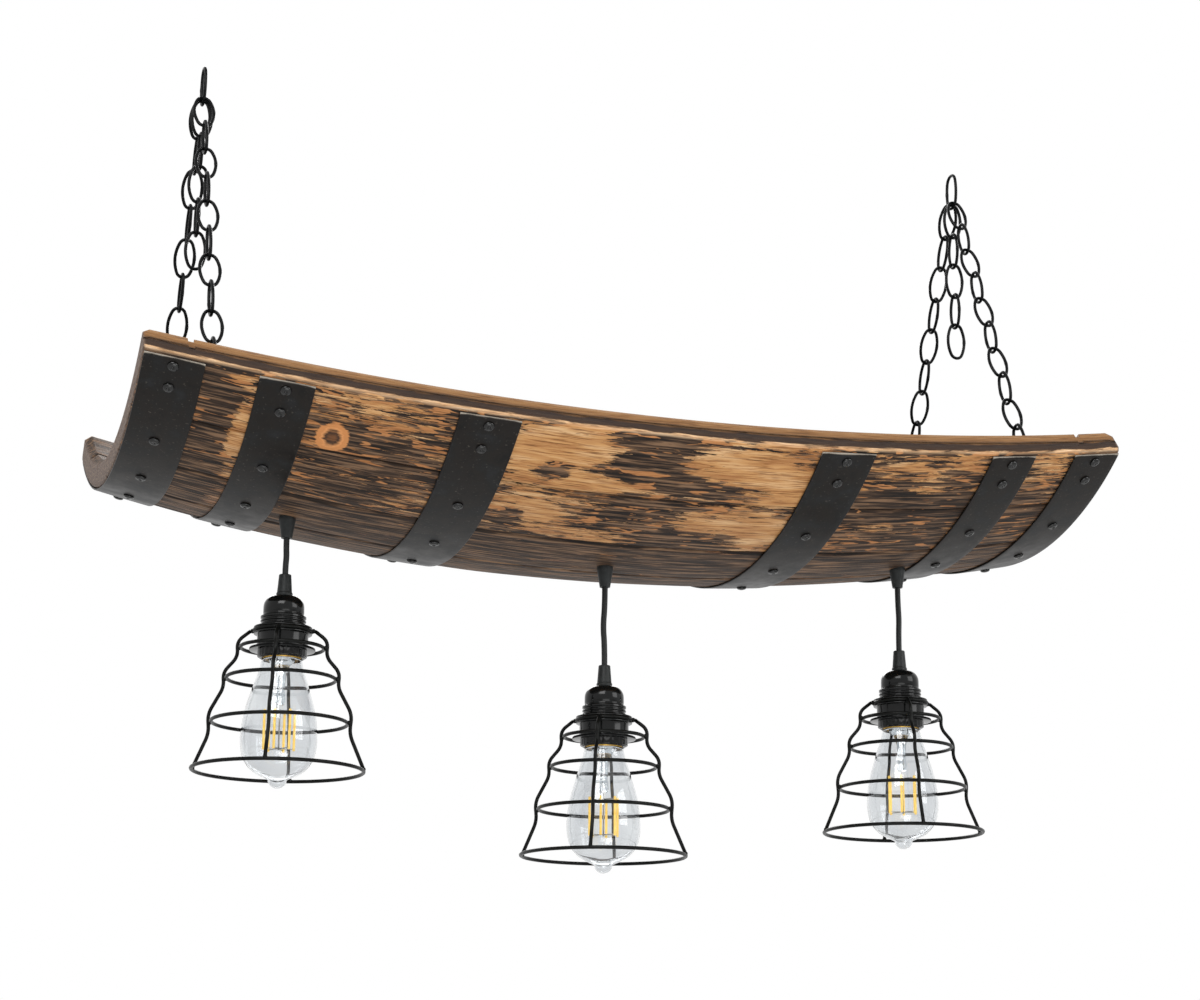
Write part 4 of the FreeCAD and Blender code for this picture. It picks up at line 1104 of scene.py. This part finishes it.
    def bulb_glass(self):
        """Pear-shaped glass: a curve through its stations down to a round nub, and one a wall further in."""
        wall = 1.0
        nub_depth, nub = self.glass[-1]
        swing = np.linspace(0, np.pi / 2, 8)
        drop = self.tip - nub_depth
        outer = np.concatenate([flowing([(r, -d) for d, r in self.glass], 6),
                                np.stack([nub * np.cos(swing), -nub_depth - drop * np.sin(swing)], -1)[1:]])
        slope = np.gradient(outer, axis=0)
        inward = np.stack([slope[:, 1], -slope[:, 0]], -1) / np.linalg.norm(slope, axis=1, keepdims=True)
        inner = np.maximum(outer + wall * inward, (0.0, -self.tip))
        inner[-1, 0] = 0.0
        return turned(np.concatenate([outer, inner[::-1], outer[:1]]), 64)

    def bulb_cap(self):
        """Screw cap: a contact button, a rolled thread as a cosine of the depth, and a flared skirt."""
        radius, roll, wall, button, turns = 12.6, 0.6, 1.2, 5.3, 6.5
        button_edge, button_height, dome, thread_end, floor = 0.4, 0.8, 1.0, 0.4, 0.6
        thread_top = self.cap_top + 4.0
        thread_length = self.skirt_top - thread_end - thread_top
        level = np.linspace(0, 1, 41)
        thread = np.stack([radius + roll * np.cos(2 * np.pi * level * turns),
                           -thread_top - thread_length * level], -1)
        rim_depth, rim = self.glass[0]
        inner = radius - wall
        head = [(0.0, -self.cap_top), (button, -self.cap_top),
                (button + button_edge, -self.cap_top - button_height), (radius - roll, dome - thread_top)]
        skirt = [(radius + roll, -self.skirt_top), (rim, -rim_depth), (inner, -rim_depth),
                 (inner, -thread_top), (0.0, floor - thread_top)]
        return turned(np.concatenate([head, thread, skirt]), 40)

    def mount(self):
        """Glass stem with a pinched foot, its lead wire, and a ring of coated rods on wire arms.

        Gives pairs of a surface and its finish: 0 for glass, 1 for bare wire, 2 for coated rods.
        """
        top = -self.glass[0][0]
        foot = -self.stem_foot
        pinch = foot + 4.5
        stem = turned(flowing([(0.0, top), (11.4, top - 0.2), (7.0, top - 6.0), (4.4, top - 14.0),
                               (3.6, pinch + 8.0), (4.4, pinch), (3.4, foot + 0.4), (0.0, foot)], 5), 24)
        high, low = self.filament
        circle, arm, rod, overhang = 13.0, 0.4, 1.1, 1.5
        lead_radius, lead_bite = 0.7, 1.0
        lead = np.linspace(foot + lead_bite, -low - overhang, 4)
        level = np.linspace(overhang - high, -low - overhang, 7)
        reach = np.linspace(arm, circle, 4)
        sideways = (0, 1, 0)
        parts = [(stem, 0), (wire(np.stack([0 * lead, 0 * lead, lead], -1), sideways, lead_radius, 8), 1)]
        bar = wire(np.stack([0 * level + circle, 0 * level, level], -1), sideways, rod, 10)
        arms = [wire(np.stack([reach, 0 * reach, 0 * reach - depth], -1), sideways, arm, 6)
                for depth in self.filament]
        for i in range(self.rods):
            spin = about("Z", i * 360.0 / self.rods)
            parts += [(moved(one, turn=spin), 1) for one in arms]
            parts.append((moved(bar, turn=spin), 2))
        return parts


class DressFittings(bpy.types.Operator):
    """Finishes for the fittings in the trough and the shells in the lampholders, whose CAD shapes stay"""

    bl_idname = "chandelier.fittings"
    bl_label = "Fittings"

    def execute(self, context):
        found = finishes()
        dress(["junction_box", "junction_box_cover", "cable_clips", "box_screws", "gland_locknuts"],
              found["zinc_plated_sheet"])
        dress(["inlet_bushing"], found["moulded_nylon"])
        dress(["wire_nuts"], found["moulded_orange_plastic"])
        dress(["panel_wiring"], found["extruded_vinyl_jacket"])
        dress(["screw_shell_" + name for name in PENDANTS], found["rolled_brass"])
        return {"FINISHED"}


class SetStage(bpy.types.Operator):
    """Pale floor, white surroundings, soft lights and the camera"""

    bl_idname = "chandelier.stage"
    bl_label = "Stage"

    # Soft boxes: name, place in metres, width in metres, power in watts
    boxes = (("key_box", (-1.3, -2.0, 1.2), 1.6, 60.0), ("fill_box", (1.9, -1.8, 0.2), 1.4, 26.0),
             ("low_box", (-0.2, -1.6, -1.8), 1.4, 16.0), ("back_box", (0.4, 2.2, 1.2), 1.6, 36.0))
    aim = (0.0, 0.0, -0.4)
    sensor_width = 36.0
    far_clip = 50.0
    floor_half = 4000.0
    floor_points = 9

    def execute(self, context):
        scene = context.scene
        settings = scene.chandelier_stage
        scene.view_settings.view_transform = "Standard"
        camera = bpy.data.cameras.new("photo_camera")
        camera.sensor_width = self.sensor_width
        camera.lens = settings.camera_lens
        camera.clip_end = self.far_clip
        holder = bpy.data.objects.new("photo_camera", camera)
        holder.location = settings.camera_place
        holder.rotation_euler = settings.camera_turn
        scene.collection.objects.link(holder)
        scene.camera = holder
        for name, place, width, power in self.boxes:
            lamp = bpy.data.lights.new(name, "AREA")
            lamp.shape = "SQUARE"
            lamp.size = width
            lamp.energy = power
            stand = bpy.data.objects.new(name, lamp)
            stand.location = place
            stand.rotation_euler = (Vector(self.aim) - Vector(place)).to_track_quat("-Z", "Y").to_euler()
            scene.collection.objects.link(stand)
        self.surroundings(scene, settings)
        self.floor(scene, settings)
        return {"FINISHED"}

    def surroundings(self, scene, settings):
        """World that looks white to the camera and in reflections, and lights the object evenly and less."""
        world = bpy.data.worlds.new("white_room")
        world.use_nodes = True
        scene.world = world
        tree = world.node_tree
        tree.nodes.clear()
        seen = 0.0
        for ray in ("Is Camera Ray", "Is Transmission Ray", "Is Glossy Ray"):
            seen = add(tree, "ShaderNodeMath", {0: add(tree, "ShaderNodeLightPath", out=ray), 1: seen},
                       operation="MAXIMUM")
        strength = add(tree, "ShaderNodeMapRange", {"Value": seen, "To Min": settings.sky, "To Max": 1.0})
        light = add(tree, "ShaderNodeBackground", {"Color": (1.0, 1.0, 1.0, 1.0), "Strength": strength})
        add(tree, "ShaderNodeOutputWorld", {"Surface": light})

    def floor(self, scene, settings):
        """Wide flat pale floor far below."""
        run = np.linspace(-self.floor_half, self.floor_half, self.floor_points)
        x, y = np.meshgrid(run, run, indexing="ij")
        points, quads = skin(np.stack([x, y, 0 * x - settings.floor_drop / MM], -1))
        mesh = bpy.data.meshes.new("studio_floor")
        mesh.from_pydata(points * MM, [], quads.tolist())
        mesh.shade_smooth()
        # Painted studio floor: matt white with the faintest unevenness
        paint = mottled("matt_white_paint", ((0.3, "#F4F4F3"), (0.7, "#FAFAFA")), 300.0, (0.7, 0.8))
        mesh.materials.append(paint)
        floor = bpy.data.objects.new("studio_floor", mesh)
        scene.collection.objects.link(floor)


STEPS = (DressStaves, DressHoops, DressChains, DressPendants, DressFittings, SetStage)
GROUPS = {"chandelier_panel": PanelSizes, "chandelier_chain": ChainSizes, "chandelier_lamp": LampSizes,
          "chandelier_colours": FinishColours, "chandelier_stage": StageSettings}


class ChandelierPanel(bpy.types.Panel):
    """Sidebar panel with the steps and their settings"""

    bl_idname = "VIEW3D_PT_chandelier"
    bl_label = "Barrel chandelier"
    bl_space_type = "VIEW_3D"
    bl_region_type = "UI"
    bl_category = "Chandelier"

    def draw(self, context):
        for step in STEPS:
            self.layout.operator(step.bl_idname)
        for name, group in GROUPS.items():
            column = self.layout.column()
            for setting in group.__annotations__:
                column.prop(getattr(context.scene, name), setting)


def register():
    for name, group in GROUPS.items():
        bpy.utils.register_class(group)
        setattr(bpy.types.Scene, name, bpy.props.PointerProperty(type=group))
    for step in (*STEPS, ChandelierPanel):
        bpy.utils.register_class(step)


def unregister():
    for step in (ChandelierPanel, *reversed(STEPS)):
        bpy.utils.unregister_class(step)
    for name, group in reversed(GROUPS.items()):
        delattr(bpy.types.Scene, name)
        bpy.utils.unregister_class(group)


def main():
    register()
    bpy.ops.chandelier.stage()
    bpy.ops.chandelier.pendants()
    bpy.ops.chandelier.staves()
    bpy.ops.chandelier.hoops()
    bpy.ops.chandelier.chains()
    bpy.ops.chandelier.fittings()
    bpy.context.view_layer.update()


if __name__ == "__main__":
    main()
